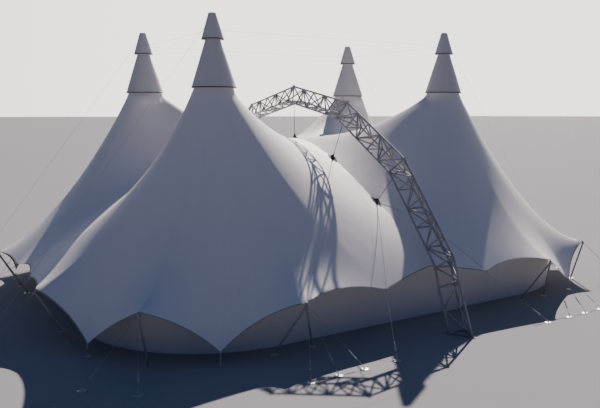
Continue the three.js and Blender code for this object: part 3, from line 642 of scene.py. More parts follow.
def roof_sheet():
    """One quarter of the roof as a thin closed sheet, shaded by the surface's own normals."""
    piece = Piece()
    piece.grid(roof_at(SHEET / 2), roof_lay, around=True)
    shell = len(piece.points)
    piece.grid(roof_at(-SHEET / 2), roof_lay, around=True, flip=True)
    normals = np.concatenate([NORMALS.reshape(-1, 3), -NORMALS.reshape(-1, 3)])
    piece.normals = [normals[list(face)] for face in piece.faces]
    for row, turn in ((0, -1), (LAST, 1)):
        for c in range(COLUMNS):
            here, beside = row * COLUMNS + c, row * COLUMNS + (c + 1) % COLUMNS
            face = (here, shell + here, shell + beside, beside)[::turn]
            p, q, r = (np.array(piece.points[i]) for i in face[:3])
            piece.faces.append(face)
            piece.lay.append([(0.25, 0.0)] * 4)
            piece.looks.append(0)
            piece.normals.append([unit(np.cross(q - p, r - q))] * 4)
    return piece


middle_surface = Piece()
middle_surface.grid(NET, around=True)
ROOF_TREE = BVHTree.FromPolygons(middle_surface.points, middle_surface.faces)


def roof_height(x, y):
    """The height of the roof's middle surface over a point."""
    return ROOF_TREE.ray_cast(Vector((abs(x), abs(y), -1.0)), UP)[0].z


def edge_belt():
    """The webbing sewn round the scalloped edge, as a band folded over it."""
    columns = np.arange(FIRST_COLUMN["short_edge"], FIRST_COLUMN["long_edge"] + 1)
    edge = NET[LAST, columns]
    inward = unit(NET[LAST - 1, columns] - edge)
    inner, fold = edge + inward * EDGE_BELT["width"], inward * EDGE_BELT["fold"]
    half = EDGE_BELT["thickness"] / 2
    lift, lift_in = OFFSETS[LAST, columns] * half, OFFSETS[LAST - 1, columns] * half
    sections = np.stack([inner + lift_in, edge + lift - fold * 0.3, edge - fold, edge - lift - fold * 0.3,
                         inner - lift_in, inner - lift_in * 0.4, inner + lift_in * 0.4], axis=1)
    sections[ON_CROSS[columns], :, 1] = 0
    sections[ON_RIDGE[columns], :, 0] = 0
    along = lengths(edge)
    across = (0.0, 0.48, 0.5, 0.52, 1.0, 1.0, 1.0, 1.0)
    piece = Piece()
    piece.grid(sections, lambda r, c: (across[c], float(along[r])), around=True, flip=True)
    piece.ends(sections[::-1])
    return piece


def ridge_belt(piece, look):
    """The belt sewn on the roof from a lower ridge plate to the tip on the long side."""
    low, high, steps = RIDGE_BELT["low"], RIDGE_BELT["high"], RIDGE_BELT["steps"]
    start = Vector((0, RIDGE_POINTS[2][0], 0)) + Vector((*RIDGE_BELT["start"], 0))
    end = lerp(start, level(LONG_SIDE_TIP), RIDGE_BELT["share"])
    length = (end - start).length
    half = (end - start).normalized().cross(UP) * RIDGE_BELT["width"] / 2
    rows = []
    for k in range(steps + 1):
        corners = [(lerp(start, end, k / steps) + half * side, rise)
                   for side, rise in ((-1, low), (-1, high), (1, high), (1, low))]
        rows.append([spot + up(roof_height(spot.x, spot.y) + rise) for spot, rise in corners])
    across = (0.0, 0.0, 1.0, 1.0, 0.0)
    piece.grid(rows, lambda r, c: (across[c], length * r / steps), look, around=True, flip=True)
    piece.ends(rows[::-1], look)


def net_spot(surface, row, column):
    """A point between the net's rows and columns."""
    upper, left = min(math.floor(row), LAST - 1), math.floor(column)
    a, b, across = left % COLUMNS, (left + 1) % COLUMNS, column - left
    return lerp(lerp(surface[upper, a], surface[upper, b], across),
                lerp(surface[upper + 1, a], surface[upper + 1, b], across), row - upper)


def tip_plates(piece, tip, rows, columns, near, far, look=0):
    """A doubled piece of fabric or a plate on each face of the sheet at a tip. Its rows and columns are
    counted from the tip in cells of the net."""
    def face(offset):
        surface = roof_at(offset)
        return [[net_spot(surface, LAST + row, FIRST_COLUMN[tip] + column) for column in columns]
                for row in rows]

    for high, low in ((SHEET / 2 + far, SHEET / 2 + near), (-SHEET / 2 - near, -SHEET / 2 - far)):
        piece.plate(face(high), face(low), lambda r, c: (0.3 + 0.4 * c / len(columns), 0.1 * r), look)


# Low tips: a strap with its ratchet, down to a plate pinned to the ground


def strap(piece, a, b, across):
    """A flat strap from a to b."""
    width, face = across * STRAP["width"] / 2, (b - a).normalized().cross(across) * STRAP["thickness"] / 2
    length = (b - a).length
    steps = max(2, int(length / 0.05))
    rows = [[lerp(a, b, k / steps) + width * i + face * j for i, j in ((-1, 1), (1, 1), (1, -1), (-1, -1))]
            for k in range(steps + 1)]
    spots = (0.0, 0.5, 0.5, 1.0, 1.0)
    piece.grid(rows, lambda r, c: (spots[c], length * r / steps), around=True)
    piece.ends(rows)


def low_tip_strap(piece, tip):
    """A webbing strap with a ratchet and a pinned ground plate."""
    out = level(TIP[tip] - MAST_FOOT).normalized()
    across = UP.cross(out)
    foot = level(TIP[tip]) + out * 0.02
    body = foot + up(0.27)

    def bar(reach, height, half, radius):
        middle = body + out * reach + up(height)
        piece.tube([middle - across * half, middle + across * half], radius, 10, look=1)

    strap(piece, foot + up(0.05), TIP[tip] - up(0.012), across)
    strap(piece, foot + up(0.05) - out * 0.01, TIP[tip] - up(0.25) - out * 0.01, across)
    for side in SIDES:
        cheek = body + across * side * 0.037
        piece.slab([cheek + out * reach + up(height) for reach, height in RATCHET_CHEEK],
                   across * side * 0.004, 0.001, 1)
    bar(0, -0.03, 0.045, 0.012)
    bar(0, 0.03, 0.045, 0.012)
    bar(0.05, 0.05, 0.04, 0.009)
    corners = ((-1, -0.8), (-0.8, -1), (0.8, -1), (1, -0.8), (1, 0.8), (0.8, 1), (-0.8, 1), (-1, 0.8))
    piece.slab([foot + (across * i + out * j) * STRAP["plate"] for i, j in corners], up(0.012), 0.003, 1)
    piece.ring(foot + up(0.045), out, 0.03, 0.008, look=1)
    for i, j in ((-1, -1), (1, -1), (1, 1), (-1, 1)):
        pin = foot + (across * i + out * j) * STRAP["plate"] * STRAP["pins"]
        piece.turned(pin + up(0.012), UP, PIN_HEAD, 12, look=1)


# The roof: four quarters that meet along the two middle lines

# the column that runs straight from the mast to the middle line y = 0
TO_CROSS = int(np.argmin(abs(STARTS[:FIRST_COLUMN["short_edge"], 0] - MAST["x"])))
ROOF_FLAT = [float(sum(ALONG[LAST, c] for c in columns) + 2 * NECK["top_radius"])
             for columns in ((FIRST_COLUMN["sideways"], FIRST_COLUMN["ridge_1"]),
                             (FIRST_COLUMN["endways"], TO_CROSS))]
ROOF_AREA = triangle_area(NET[:-1], NET[1:], BESIDE[1:]) + triangle_area(NET[:-1], BESIDE[1:], BESIDE[:-1])

sheet_piece, belt_piece, strap_piece = roof_sheet(), edge_belt(), Piece()
ridge_belt(belt_piece, look=2)
for tip in TIP:
    tip_plates(belt_piece, tip, **TIP_PATCH)
for tip in ("low_right", "low_back"):
    low_tip_strap(strap_piece, tip)

sheets, belts = {}, {}
for place, sheet in in_quarters(sheet_piece, "canopy_sheet", [CANOPY_FABRIC], "canopy_fabric", "canopy"):
    sheets[place] = sheet
    belts[place] = belt_piece.mirrored(*QUARTERS[place]).settled(
        f"edge_belt_{place}", [BELT_WEBBING, CANOPY_FABRIC, STRAP_WEBBING], "canopy_fabric")
for place, signs in QUARTERS.items():
    straps = strap_piece.mirrored(*signs).settled(
        f"low_tip_straps_{place}", [STRAP_WEBBING, BRIGHT_STEEL], "canopy_fabric")

# The strip that joins the two halves of the roof along the crease


def crease_strip():
    """A doubled strip over the crease, from the middle of the tent to its edge."""
    columns = [*range(FIRST_COLUMN["long_edge"], COLUMNS), 0]
    ridge = NET[LAST, columns]
    right = ridge + unit(NET[LAST - 1, columns] - ridge) * CREASE_STRIP["width"]
    rise, other_side = np.array([0, 0, CREASE_STRIP["rise"]]), np.array([-1, 1, 1])
    middle = ridge * (0, 1, 1) + rise
    half_way = (ridge + right) / 2 + rise
    right = right + rise - (0, 0, CREASE_STRIP["drop"])
    upper = np.stack([right * other_side, half_way * other_side, middle, half_way, right], axis=1)
    along = lengths(middle)
    piece = Piece()
    lower = upper - (0, 0, CREASE_STRIP["thickness"])
    piece.plate(upper, lower, lambda r, c: (0.3 + 0.1 * c, float(along[r])))
    return piece


for side, sign in HALVES:
    crease_strip().mirrored(1, sign).settled(f"ridge_strip_{side}", [CANOPY_FABRIC], "canopy_fabric")

# Caps


def cap(bottom, bottom_radius, top, top_radius, hole):
    """A conical cap of sewn gores with a hem, closed at the top round the mast. The hem band is coloured
    near-black as painted shadow of the gap under the cap's edge.
    """
    sides = CAP["gores"] * CAP["facets"]
    height = top - bottom
    heights = [0, 0.02, 0.05] + [lerp(CAP["hem"], height, k / 12) for k in range(13)]

    def ring_at(z, radius, gather=0.0):
        """A ring of the cone, drawn in between its seams."""
        ring = []
        for s in range(sides):
            from_seam = abs((s / CAP["facets"] + 0.5) % 1 - 0.5)
            ring.append(polar(radius * (1 - gather * math.sin(math.pi * from_seam)), 360 * s / sides, z))
        return ring

    def face(proud, drop):
        """The cap's outer or inner face, from its hem to its middle."""
        rings = []
        for k, h in enumerate(heights):
            radius = lerp(bottom_radius, top_radius, h / height) - drop + (proud if k < 3 else 0)
            rings.append(ring_at(bottom + h, radius, CAP["gather"] * (1 - h / height)))
        for inwards in (0.95,) if hole else (0.93, 0.6, 0.3):
            rings.append(ring_at(top - CAP["dome"] * inwards - drop, lerp(hole, top_radius, inwards)))
        return rings + [ring_at(top - drop, hole or 0.02)]

    outer, inner = face(CAP["hem_proud"], 0.0), face(0.0, SHEET)
    rows = inner[::-1] + outer
    along = lengths([row[0] for row in rows]).tolist()
    piece = Piece()
    piece.grid(rows, lambda r, c: (c / CAP["facets"], along[r]), around=True, flip=True)
    # the hem band's faces take the second look, the near-black painted shadow
    hem = range(len(inner) - 1, len(inner) + 3)
    piece.looks = [int(k // sides in hem) for k in range(len(piece.looks))]
    if hole:
        piece.grid([rows[-1], rows[0]], around=True, flip=True)
    else:
        piece.ends(rows[::-1])
    return piece


def cap_cut(bottom, bottom_radius, top, top_radius):
    """The cap's flat cut, a part of a ring: its width and length, then its area."""
    slant = math.hypot(top - bottom, bottom_radius - top_radius)
    sine = (bottom_radius - top_radius) / slant
    outer, inner, half = bottom_radius / sine, top_radius / sine, math.pi * sine
    return (2 * outer * math.sin(half), outer - inner * math.cos(half)), \
        math.pi * (bottom_radius + top_radius) * slant


for kind, size, hole in (("upper_cap", UPPER_CAP, 0.0), ("lower_cap", LOWER_CAP, MAST["radius"] + 0.006)):
    flat, area = cap_cut(**size)
    area += math.pi * (size["top_radius"] ** 2 - hole ** 2)
    cone = cap(**size, hole=hole)
    for place, sheet in in_quarters(cone, f"{kind}_sheet", [CAP_FABRIC_PAINTED_SHADE, HEM_BAND_PAINTED_SHADOW], "cap_fabric", kind):
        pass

# Masts, with the ring that carries the neck

mast = Piece()
mast.tube([MAST_FOOT + up(z) for z in (0.02, *(0.5 * k for k in range(1, 31)), MAST["top"] - 0.06)],
          MAST["radius"], 32)
mast.disc(MAST_FOOT, UP, **MAST_BASE, sides=40)
mast.bolts(MAST_FOOT + up(MAST_BASE["thickness"]), 0.29, 8, 22.5, 0.022)
for out in bearings(4, 22.5 + math.degrees(0.39)):
    mast.fin(MAST_FOOT + out * (MAST["radius"] - 0.005) + up(MAST_BASE["thickness"]), out, MAST_GUSSET, 0.012)
for z in (4.0, 8.0, 12.4):       # the joints of the mast's lengths
    mast.sleeve(MAST_FOOT + up(z - 0.09), MAST_FOOT + up(z + 0.09), 0.005, 0.158, 0.166, 32)
    for out in bearings(8):
        for side in SIDES:
            mast.bolt(MAST_FOOT + out * 0.164 + up(z + 0.045 * side), out, 0.012)
ring_middle = MAST_FOOT + up(NECK_RING["z"])
mast.ring(ring_middle, UP, NECK_RING["radius"], NECK_RING["bar"], 72, 12)
for out in bearings(4):
    hub = ring_middle + out * (MAST["radius"] - 0.005)
    mast.tube([hub, ring_middle + out * 0.94], 0.022)
    mast.tube([hub - up(0.45), ring_middle + out * 0.7 - up(0.015)], 0.016, 10)
mast.disc(MAST_FOOT + up(LOWER_CAP["top"] - 0.09), UP, 0.215, 0.08, 32)
mast.disc(MAST_FOOT + up(MAST["top"] - 0.07), UP, 0.17, 0.06, 32)
list(in_quarters(mast, "mast_tube", [MAST_STEEL], "mast_steel", "mast"))

# Fittings on wires: look 0 is the piece's own, look 1 its bright fittings


def shackle(piece, place, direction, size=0.05, look=1):
    """A bow and its pin, between a wire's eye and what holds it."""
    across = square_to(direction)[0]
    bow = [across * 0.6 * math.cos(t) + direction * (0.2 + math.sin(t)) for t in np.linspace(0, math.pi, 11)]
    legs = [across * side * 0.6 - direction * 0.4 for side in SIDES]
    pin = [across * side * 0.95 - direction * 0.35 for side in SIDES]
    piece.tube([place + spot * size for spot in (legs[1], *bow, legs[0])], size * 0.17, 8, look)
    piece.tube([place + spot * size for spot in pin[::-1]], size * 0.2, 8, look)


def rigging_screw(piece, a, b, start):
    """A rigging screw on the wire from a to b, starting that far from a."""
    along = (b - a).normalized()
    across = square_to(along)[0] * SCREW["half_width"]
    low, high = a + along * start, a + along * (start + SCREW["length"])
    for side in SIDES:
        piece.tube([lerp(low, high, share) + across * side * width for share, width in
                    ((0, 0.625), (0.06, 1), (0.94, 1), (1, 0.625))], SCREW["bar"], 8, 1)
    for end, inwards in ((low, along), (high, -along)):
        piece.turned(end - inwards * 0.02, inwards, SCREW_END, 12, 1)


def anchor(piece, place, towards):
    """A ground plate with an eye and the heads of the stakes that hold it."""
    place = level(place)
    piece.turned(place, UP, ANCHOR_PLATE, 32, 1)
    for out in bearings(4, 45):
        piece.turned(place + out * 0.145 + up(0.016), UP, STAKE_HEAD, 14, 1)
    piece.fin(place + up(0.024), level(towards - place).normalized(), ANCHOR_LUG, 0.014, look=1)


def guy(piece, anchor_place, top, gap=0.09):
    """A stay from its ground anchor up to a fitting, with a rigging screw near its foot."""
    foot = level(anchor_place) + up(0.08)
    anchor(piece, anchor_place, top)
    along = (top - foot).normalized()
    shackle(piece, foot + along * 0.02, along)
    piece.tube([foot + along * 0.06, top - along * gap], WIRE, 8)
    rigging_screw(piece, foot, top, 0.5)
    for place in (foot + along * 0.1, top - along * (gap + 0.16)):
        piece.sleeve(place, place + along * 0.14, 0.02, WIRE + 0.002, WIRE + 0.009, 10, 1)
    shackle(piece, top - along * (gap - 0.02), -along)


def pole(piece, foot, top):
    """A tube on a hinged foot plate."""
    along = (top - foot - up(0.09)).normalized()
    pin = foot + up(0.075)
    start = pin + along * 0.06
    radius = POLE["radius"]
    piece.tube([start, start + along * 0.02, top - along * 0.03, top],
               [radius - 0.004, radius, radius, radius - 0.01], 20)
    piece.sleeve(lerp(start, top, 0.48), lerp(start, top, 0.534), (top - start).length * 0.004,
                 radius, radius + 0.008, 20)
    piece.disc(foot, UP, 0.18, 0.014, 32, 0.003, 1)
    lean = level(along).normalized()
    across = UP.cross(lean)
    for side in SIDES:
        lug = foot + up(0.014) + across * side * 0.034
        piece.slab([lug + lean * reach + up(height) for reach, height in POLE_LUG],
                   across * side * 0.01, look=1)
    piece.tube([pin - across * 0.06, pin + across * 0.06], 0.014, 12, 1)
    piece.tube([pin - along * 0.02, pin + along * 0.065], 0.03, 14)
    piece.bolts(foot + up(0.014), 0.135, 4, 45, 0.016, 1)


POLE_FEET = dict(
    sideways=[from_mast(POLE["foot"], side * POLE["half_spread"]) for side in SIDES],
    endways=[from_mast(side * POLE["half_spread"], POLE["foot"]) for side in SIDES],
    corner=[polar(POLE["corner_foot"], 45)], long_side=[], short_side=[])
GUY_ANCHORS = dict(
    sideways=[from_mast(GUY["reach"], side * GUY["spread"]) for side in (-1, 0, 1)],
    endways=[from_mast(side * GUY["spread"], GUY["reach"]) for side in (-1, 0, 1)],
    corner=[polar(GUY["reach"], 45 + side * GUY["corner_spread"]) for side in SIDES],
    long_side=[LONG_SIDE_ANCHOR], short_side=[SHORT_SIDE_ANCHOR])
STAY_NODES = dict(sideways="side_poles", endways="end_poles", corner="corner_pole",
                  long_side="long_side_guy", short_side="short_side_guy")

for tip, node in STAY_NODES.items():
    stay, place = Piece(), TIP[tip]
    tip_plates(stay, tip, **TIP_CLAMP)
    if POLE_FEET[tip]:
        stay.turned(place - up(0.2), UP, POLE_HEAD, 20)
        stay.disc(place - up(0.16), UP, 0.105, 0.016, 28, 0.003)
    else:
        stay.ring(place - up(0.06), (place.y, -place.x, 0), 0.04, 0.011, look=1)
    for foot in POLE_FEET[tip]:
        pole(stay, foot, place - up(0.17))
    for foot in GUY_ANCHORS[tip]:
        guy(stay, foot, place - up(0.09))
    list(in_quarters(stay, f"{node}_stay", [POLE_STEEL, BRIGHT_STEEL], "pole_steel", node))

# Cables at the mast heads

cables = Piece()
CAP_SHARE = (MAST_CABLE["z"] - UPPER_CAP["bottom"]) / (UPPER_CAP["top"] - UPPER_CAP["bottom"])
CAP_RADIUS = lerp(UPPER_CAP["bottom_radius"], UPPER_CAP["top_radius"], CAP_SHARE)
heads = {signs: Vector((signs[0] * MAST["x"], signs[1] * MAST["y"], MAST_CABLE["z"]))
         for signs in QUARTERS.values()}
for sign in SIDES:
    cables.tube([heads[-1, sign], heads[1, sign]], HEAD_CABLE, 8)
    cables.tube([heads[sign, -1], heads[sign, 1]], HEAD_CABLE, 8)
for (sx, sy), head in heads.items():
    out = Vector((sx, 0, 0))
    cables.sleeve(head - up(0.03), head + up(0.03), 0.006, 0.17, 0.205, 32, 1)
    eye = head + out * MAST_CABLE["eye"]
    foot = level(head) + out * (GUY["reach"] + MAST_CABLE["anchor_offset"]) + up(0.075)
    along = (eye - foot).normalized()
    for a in (head, foot + along * 0.04):
        cables.tube([a, eye], HEAD_CABLE, 8)
    shackle(cables, foot + along * 0.02, along)
    rigging_screw(cables, foot, eye, 0.55)
    shackle(cables, eye, out, 0.04)
    for direction in (-out, Vector((0, -sy, 0)), out):
        cables.ring(head + direction * (CAP_RADIUS - 0.002), direction, 0.026, 0.007, 16, 8, 1)
cables.settled("head_cables", [ROPE_STEEL, BRIGHT_STEEL], "rope_steel", "mast_cables")

# The arch


def inner_kinks():
    """The inner chords' kinks: the outer chord's, moved inwards square to both neighbours."""
    outer, kinks = ARCH["outer"], []

    def square(a, b):
        length = math.hypot(b[0] - a[0], b[1] - a[1])
        return (b[1] - a[1]) / length, -(b[0] - a[0]) / length

    for k, (y, z) in enumerate(outer):
        near = [square(a, b) for a, b in zip(outer[max(k - 1, 0):k + 1], outer[max(k, 1):k + 2])]
        if k == 0:
            near.append((-near[0][0], near[0][1]))
        (ay, az), (by, bz) = near[0], near[-1]
        share = ARCH["depth"] / (1 + ay * by + az * bz)
        kinks.append((y + (ay + by) * share, z + (az + bz) * share))
    return np.array(kinks)


INNER, OUTER, HALF = inner_kinks(), np.array(ARCH["outer"]), ARCH["half_width"]


def on_arch(x, place):
    return Vector((x, *place))


def chord(piece, a, b):
    piece.tube([a, b], CHORD, 20)


def brace(piece, a, b, radius=BRACE):
    """A welded bar between two chords, with its weld beads."""
    along = (b - a).normalized()
    piece.tube([a, b], radius, 10)
    for place, inwards in ((a, along), (b, -along)):
        foot = place + inwards * CHORD * 0.9
        piece.tube([foot, foot + inwards * 0.012, foot + inwards * 0.028],
                   [radius + 0.01, radius + 0.008, radius], 10)


def end_frame(piece, inner, outer):
    left, right, top = on_arch(-HALF, inner), on_arch(HALF, inner), on_arch(0, outer)
    for a, b in ((left, right), (left, top), (right, top)):
        brace(piece, a, b, BRACE * 1.1)


def flange(piece, place, normal):
    """The bolted joint of two chord ends."""
    side = Vector((1, 0, 0))
    for face in (-normal, normal):
        piece.disc(place + face * 0.001, face, CHORD + 0.05, 0.018, 28, 0.003)
        for spot in circle(place, side, normal.cross(side), CHORD + 0.028, 6):
            piece.bolt(spot + face * 0.019, face, 0.012)


def section(k, side):
    """One straight section, from kink k to the next: chords, and in each of its three faces a bar
    across at every node and one zigzag of diagonals. Every section lies the same way round from the
    back of the arch to its front."""
    piece = Piece()

    def corners(share):
        inner, outer = (lerp(line[k], line[k + 1], share) for line in (INNER, OUTER))
        return on_arch(-HALF, inner), on_arch(HALF, inner), on_arch(0, outer)

    for a, b in zip(corners(0), corners(1)):
        chord(piece, a, b)
    for bay in range(ARCH["bays"]):
        here, there = corners(bay / ARCH["bays"]), corners((bay + 1) / ARCH["bays"])
        ends = (here, there) if (bay % 2 == 0) == (side == "front") else (there, here)
        for near, far in [ends] + [(here, here)] * (bay > 0):
            for a, b in ((near[0], far[2]), (near[1], far[2]), (near[0], far[1])):
                brace(piece, a, b)
    return piece


def kink_joint(piece, k):
    """The frame across kink k and the flanges of its three chords."""
    end_frame(piece, INNER[k], OUTER[k])
    depth = OUTER[k] - INNER[k]
    normal = Vector((0, depth[1], -depth[0])).normalized()
    for x, place in ((-HALF, INNER[k]), (HALF, INNER[k]), (0, OUTER[k])):
        flange(piece, on_arch(x, place), normal)


def foot_plate(piece, place):
    """A round base plate under a chord, with gussets and bolts."""
    foot = level(place)
    piece.disc(foot, UP, ARCH_BASE["plate"], 0.026, 32)
    piece.bolts(foot + up(0.026), 0.15, 6, 30, 0.018)
    for out in bearings(3):
        piece.fin(foot + out * 0.04 + up(0.024), out, FOOT_GUSSET, 0.01)


def arch_base(piece):
    """The lowest frames, whose three legs stand on base plates."""
    frame_inner, frame_outer, foot_inner, foot_outer = (
        np.array(ARCH_BASE[key]) for key in ("frame_inner", "frame_outer", "foot_inner", "foot_outer"))
    low_inner, low_outer = ((foot[0], 0.06) for foot in (foot_inner, foot_outer))
    middle = lerp(frame_inner, foot_inner, 0.5)
    outer_frame = on_arch(0, frame_outer)
    chord(piece, on_arch(0, OUTER[-1]), outer_frame)
    chord(piece, outer_frame, on_arch(0, foot_outer))
    end_frame(piece, frame_inner, frame_outer)
    for x in (-HALF, HALF):
        inner_frame = on_arch(x, frame_inner)
        chord(piece, on_arch(x, INNER[-1]), inner_frame)
        chord(piece, inner_frame, on_arch(x, foot_inner))
        brace(piece, outer_frame, on_arch(x, middle))
        brace(piece, on_arch(x, middle), on_arch(0, lerp(foot_outer, frame_outer, 0.06)))
        brace(piece, on_arch(x, INNER[-1]), outer_frame)
        brace(piece, on_arch(x, low_inner), on_arch(0, low_outer))
        foot_plate(piece, on_arch(x, foot_inner))
        piece.disc(inner_frame - up(0.012), UP, CHORD + 0.02, 0.024, 24, 0.003)
    for place in (low_inner, middle):
        brace(piece, on_arch(-HALF, place), on_arch(HALF, place))
    foot_plate(piece, on_arch(0, foot_outer))


crown, base = Piece(), Piece()
kink_joint(crown, 0)
for side, sign in HALVES:
    crown.joined(section(0, side).mirrored(1, sign))
crown.settled("crown_truss", [ARCH_STEEL], "arch_steel", "arch_crown_front", "arch_crown_back")

arch_base(base)
kink_joint(base, 3)
for side, sign in HALVES:
    shoulder, leg = section(1, side), section(2, side)
    kink_joint(shoulder, 1)
    kink_joint(leg, 2)
    for name, part in (("shoulder", shoulder), ("leg", leg), ("base", base)):
        part.mirrored(1, sign).settled(f"{name}_truss_{side}", [ARCH_STEEL], "arch_steel",
                                       f"arch_{name}_{side}")

# Hangers: a plate on the crease, and a wire up to the arch


def ridge_hanger(k):
    """A diamond plate over the crease, a fin on it, and a wire from the fin up to the arch."""
    piece, lower = Piece(), []
    for t in np.linspace(-1, 1, 15):
        half = RIDGE_PLATE["width"] / 2 * (1 - abs(t)) ** 0.9 + 0.012
        y = RIDGE_POINTS[k][0] + RIDGE_PLATE["length"] / 2 * t
        lower.append([Vector((x, y, roof_height(max(abs(x), 0.004), max(abs(y), 0.004)) + 0.016))
                      for x in np.linspace(-half, half, 9)])
    upper = [[p + up(0.016) for p in row] for row in lower]
    piece.plate(upper, lower, flip=True)
    for row in (4, 7, 10):
        for column in (1, 7):
            piece.bolt(upper[row][column], UP, 0.014)
    middle, top = upper[7][4], on_arch(0, INNER[k]) - up(BRACE)
    along = (top - middle).normalized()
    head = middle + along * 0.32
    flat = Vector((0, along.z, -along.y)) * 0.03
    side = Vector((0.007, 0, 0))
    piece.slab([p - side for p in (upper[3][4], upper[10][4], head - flat, head + flat)], side * 2)
    shackle(piece, head - along * 0.01, along, 0.045, 0)
    piece.tube([head + along * 0.01, top - along * 0.02], HANGER_WIRE, 8, 1)
    piece.ring(on_arch(0, INNER[k]), (1, 0, 0), BRACE + 0.012, 0.01)
    return piece


def hang(piece, place):
    piece.settled(f"crease_hanger_{place}", [DARK_STEEL, HANGER_STEEL], "hanger_steel",
                  f"ridge_hanger_{place}")


hang(ridge_hanger(0), "middle")
for k, name in ((1, "upper"), (2, "lower")):
    for side, sign in HALVES:
        hang(ridge_hanger(k).mirrored(1, sign), f"{side}_{name}")

# The wall


def wall_line(facing):
    """Points along one piece of the wall, with the outward direction at each."""
    straight, steps = {"right": MAST["y"], "back": MAST["x"]}[facing], WALL["arc_steps"]
    turns = [math.pi / 4 * k / steps for k in range(1, steps + 1)]
    runs = int(2 * straight / WALL["step"])
    line = [(-straight, -angle) for angle in turns[::-1]] \
        + [(lerp(-straight, straight, k / runs), 0.0) for k in range(runs + 1)] \
        + [(straight, angle) for angle in turns]
    for middle, angle in line:
        sine, cosine = math.sin(angle), math.cos(angle)
        along, out = middle + WALL_RADIUS * sine, WALL_RADIUS * cosine
        if facing == "right":
            yield Vector((MAST["x"] + out, along, 0)), Vector((cosine, sine, 0))
        else:
            yield Vector((along, MAST["y"] + out, 0)), Vector((sine, cosine, 0))


def wall_piece(facing):
    """A hanging sheet under the roof, very slightly slack between its seams, with a hem at its foot, and
    its length, height and area."""
    spots, outwards = zip(*wall_line(facing))
    along = np.concatenate([[0], np.cumsum([(b - a).length for a, b in zip(spots, spots[1:])])])
    panels = along / along[-1] * max(1, round(along[-1] / WALL["panel"]))
    tops = [roof_height(spot.x, spot.y) - WALL["gap"] for spot in spots]
    hem = WALL["hem"]
    levels = [0.0, 0.01, hem - 0.01] + [lerp(hem, 1.0, k / 10) for k in range(11)]

    def face(side):
        rows = []
        for k, share in enumerate(levels):
            thickness = SHEET / 2 + (WALL["hem_proud"] if k < 3 else 0)
            row = []
            for spot, out, top, panel in zip(spots, outwards, tops, panels):
                height = share if share <= hem else lerp(hem, top, (share - hem) / (1 - hem))
                billow = math.sin(math.pi * (panel % 1)) ** 2 * math.sin(math.pi * height / top)
                row.append(spot + up(height) + out * (WALL["slack"] * billow + side * thickness))
            rows.append(row)
        return rows

    def lay(r, c):
        return float(panels[c]), float(levels[r] * 4)

    piece, outer, inner, turn = Piece(), face(1), face(-1), facing == "right"
    piece.grid(outer, lay, flip=turn)
    piece.grid(inner, lay, flip=not turn)
    for row, flip in ((0, not turn), (-1, turn)):
        piece.grid([outer[row], inner[row]], flip=flip)
    for column, flip in ((0, turn), (-1, not turn)):
        piece.grid([[row[column] for row in side] for side in (outer, inner)], flip=flip)
    area = sum((tops[k] + tops[k + 1]) / 2 * (along[k + 1] - along[k]) for k in range(len(tops) - 1))
    return piece, float(along[-1]), max(tops), float(area)


WALLS = {"right": {"left": (-1, 1), "right": (1, 1)}, "back": {"front": (1, -1), "back": (1, 1)}}

for facing, places in WALLS.items():
    wall, length, height, area = wall_piece(facing)
    for name, signs in places.items():
        sheet = wall.mirrored(*signs).settled(f"wall_sheet_{name}", [WALL_FABRIC], "wall_fabric",
                                              f"wall_{name}")

# The stage: a floor, a key light and a dome that is bright low down behind the tent, where the key is, and
# dim and blue elsewhere

FLOOR = dict(reach=3000.0, z=-0.001, colour=(0.315, 0.312, 0.316, 1.0))
KEY = dict(towards=Vector((0.985, 0.985, 1.0)), energy=8.0, angle=0.6, colour=(1.0, 0.88, 0.86), distance=30)
DOME = dict(bright=(2.6, 2.52, 2.42), dim=(0.05, 0.075, 0.155), overhead=(0.055, 0.09, 0.2),
            turn=(0.35, 0.9), rise=(0.16, 0.36))

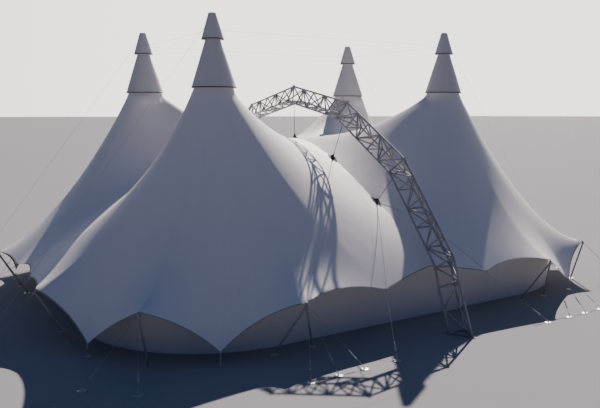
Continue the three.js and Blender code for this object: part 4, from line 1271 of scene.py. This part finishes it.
floor_mesh = bpy.data.meshes.new("floor")
floor_mesh.from_pydata([(x * FLOOR["reach"], y * FLOOR["reach"], FLOOR["z"])
                        for x, y in ((-1, -1), (1, -1), (1, 1), (-1, 1))], [], [(0, 1, 2, 3)])
floor_nodes = material("floor")
grain = floor_nodes.bump(floor_nodes.noise(floor_nodes.place(), 0.8, 3.0), 0.002, 0.2)
floor_nodes.done(FLOOR["colour"], 0.9, grain, specular=0.1)
floor_mesh.materials.append(floor_nodes.owner)
floor = bpy.data.objects.new("floor", floor_mesh)
bpy.context.scene.collection.objects.link(floor)

studio = Nodes(bpy.data.worlds.new("studio"))
view = studio.node("ShaderNodeTexCoord").outputs["Generated"]
facing_key = studio.node("ShaderNodeVectorMath", {0: view, 1: level(KEY["towards"]).normalized()},
                         operation="DOT_PRODUCT").outputs["Value"]
low_down = studio.mix(studio.ramp(facing_key, *DOME["turn"]), DOME["dim"], DOME["bright"])
view_height = studio.node("ShaderNodeSeparateXYZ", {0: view}).outputs[2]
dome = studio.mix(studio.ramp(view_height, *DOME["rise"]), low_down, DOME["overhead"])
studio.feed(studio.tree.nodes["Background"].inputs[0], dome)
bpy.context.scene.world = studio.owner

key_light = bpy.data.lights.new("key", "SUN")
key_light.energy, key_light.angle, key_light.color = KEY["energy"], math.radians(KEY["angle"]), KEY["colour"]
key = bpy.data.objects.new("key", key_light)
key.rotation_euler = KEY["towards"].to_track_quat("Z", "Y").to_euler()
key.location = KEY["towards"] * KEY["distance"]
bpy.context.scene.collection.objects.link(key)

# The camera, at the photograph's viewing angle, fitted to it in pixels and degrees

IMAGE = dict(width=600, height=408)
EYE = dict(place=(-23.080, -39.984, 10.629), focal=695.122, middle=(351.493, 213.979),
           pitch=8.175, heading=55.354)

lens = bpy.data.cameras.new("camera")
lens.sensor_width = 36.0
lens.lens = EYE["focal"] / IMAGE["width"] * lens.sensor_width
lens.shift_x = (IMAGE["width"] / 2 - EYE["middle"][0]) / IMAGE["width"]
lens.shift_y = (EYE["middle"][1] - IMAGE["height"] / 2) / IMAGE["width"]
lens.clip_end = 6000.0
camera = bpy.data.objects.new("camera", lens)
camera.location = EYE["place"]
camera.rotation_euler = (math.radians(90 - EYE["pitch"]), 0, math.radians(EYE["heading"] - 90))
bpy.context.scene.collection.objects.link(camera)
bpy.context.scene.camera = camera
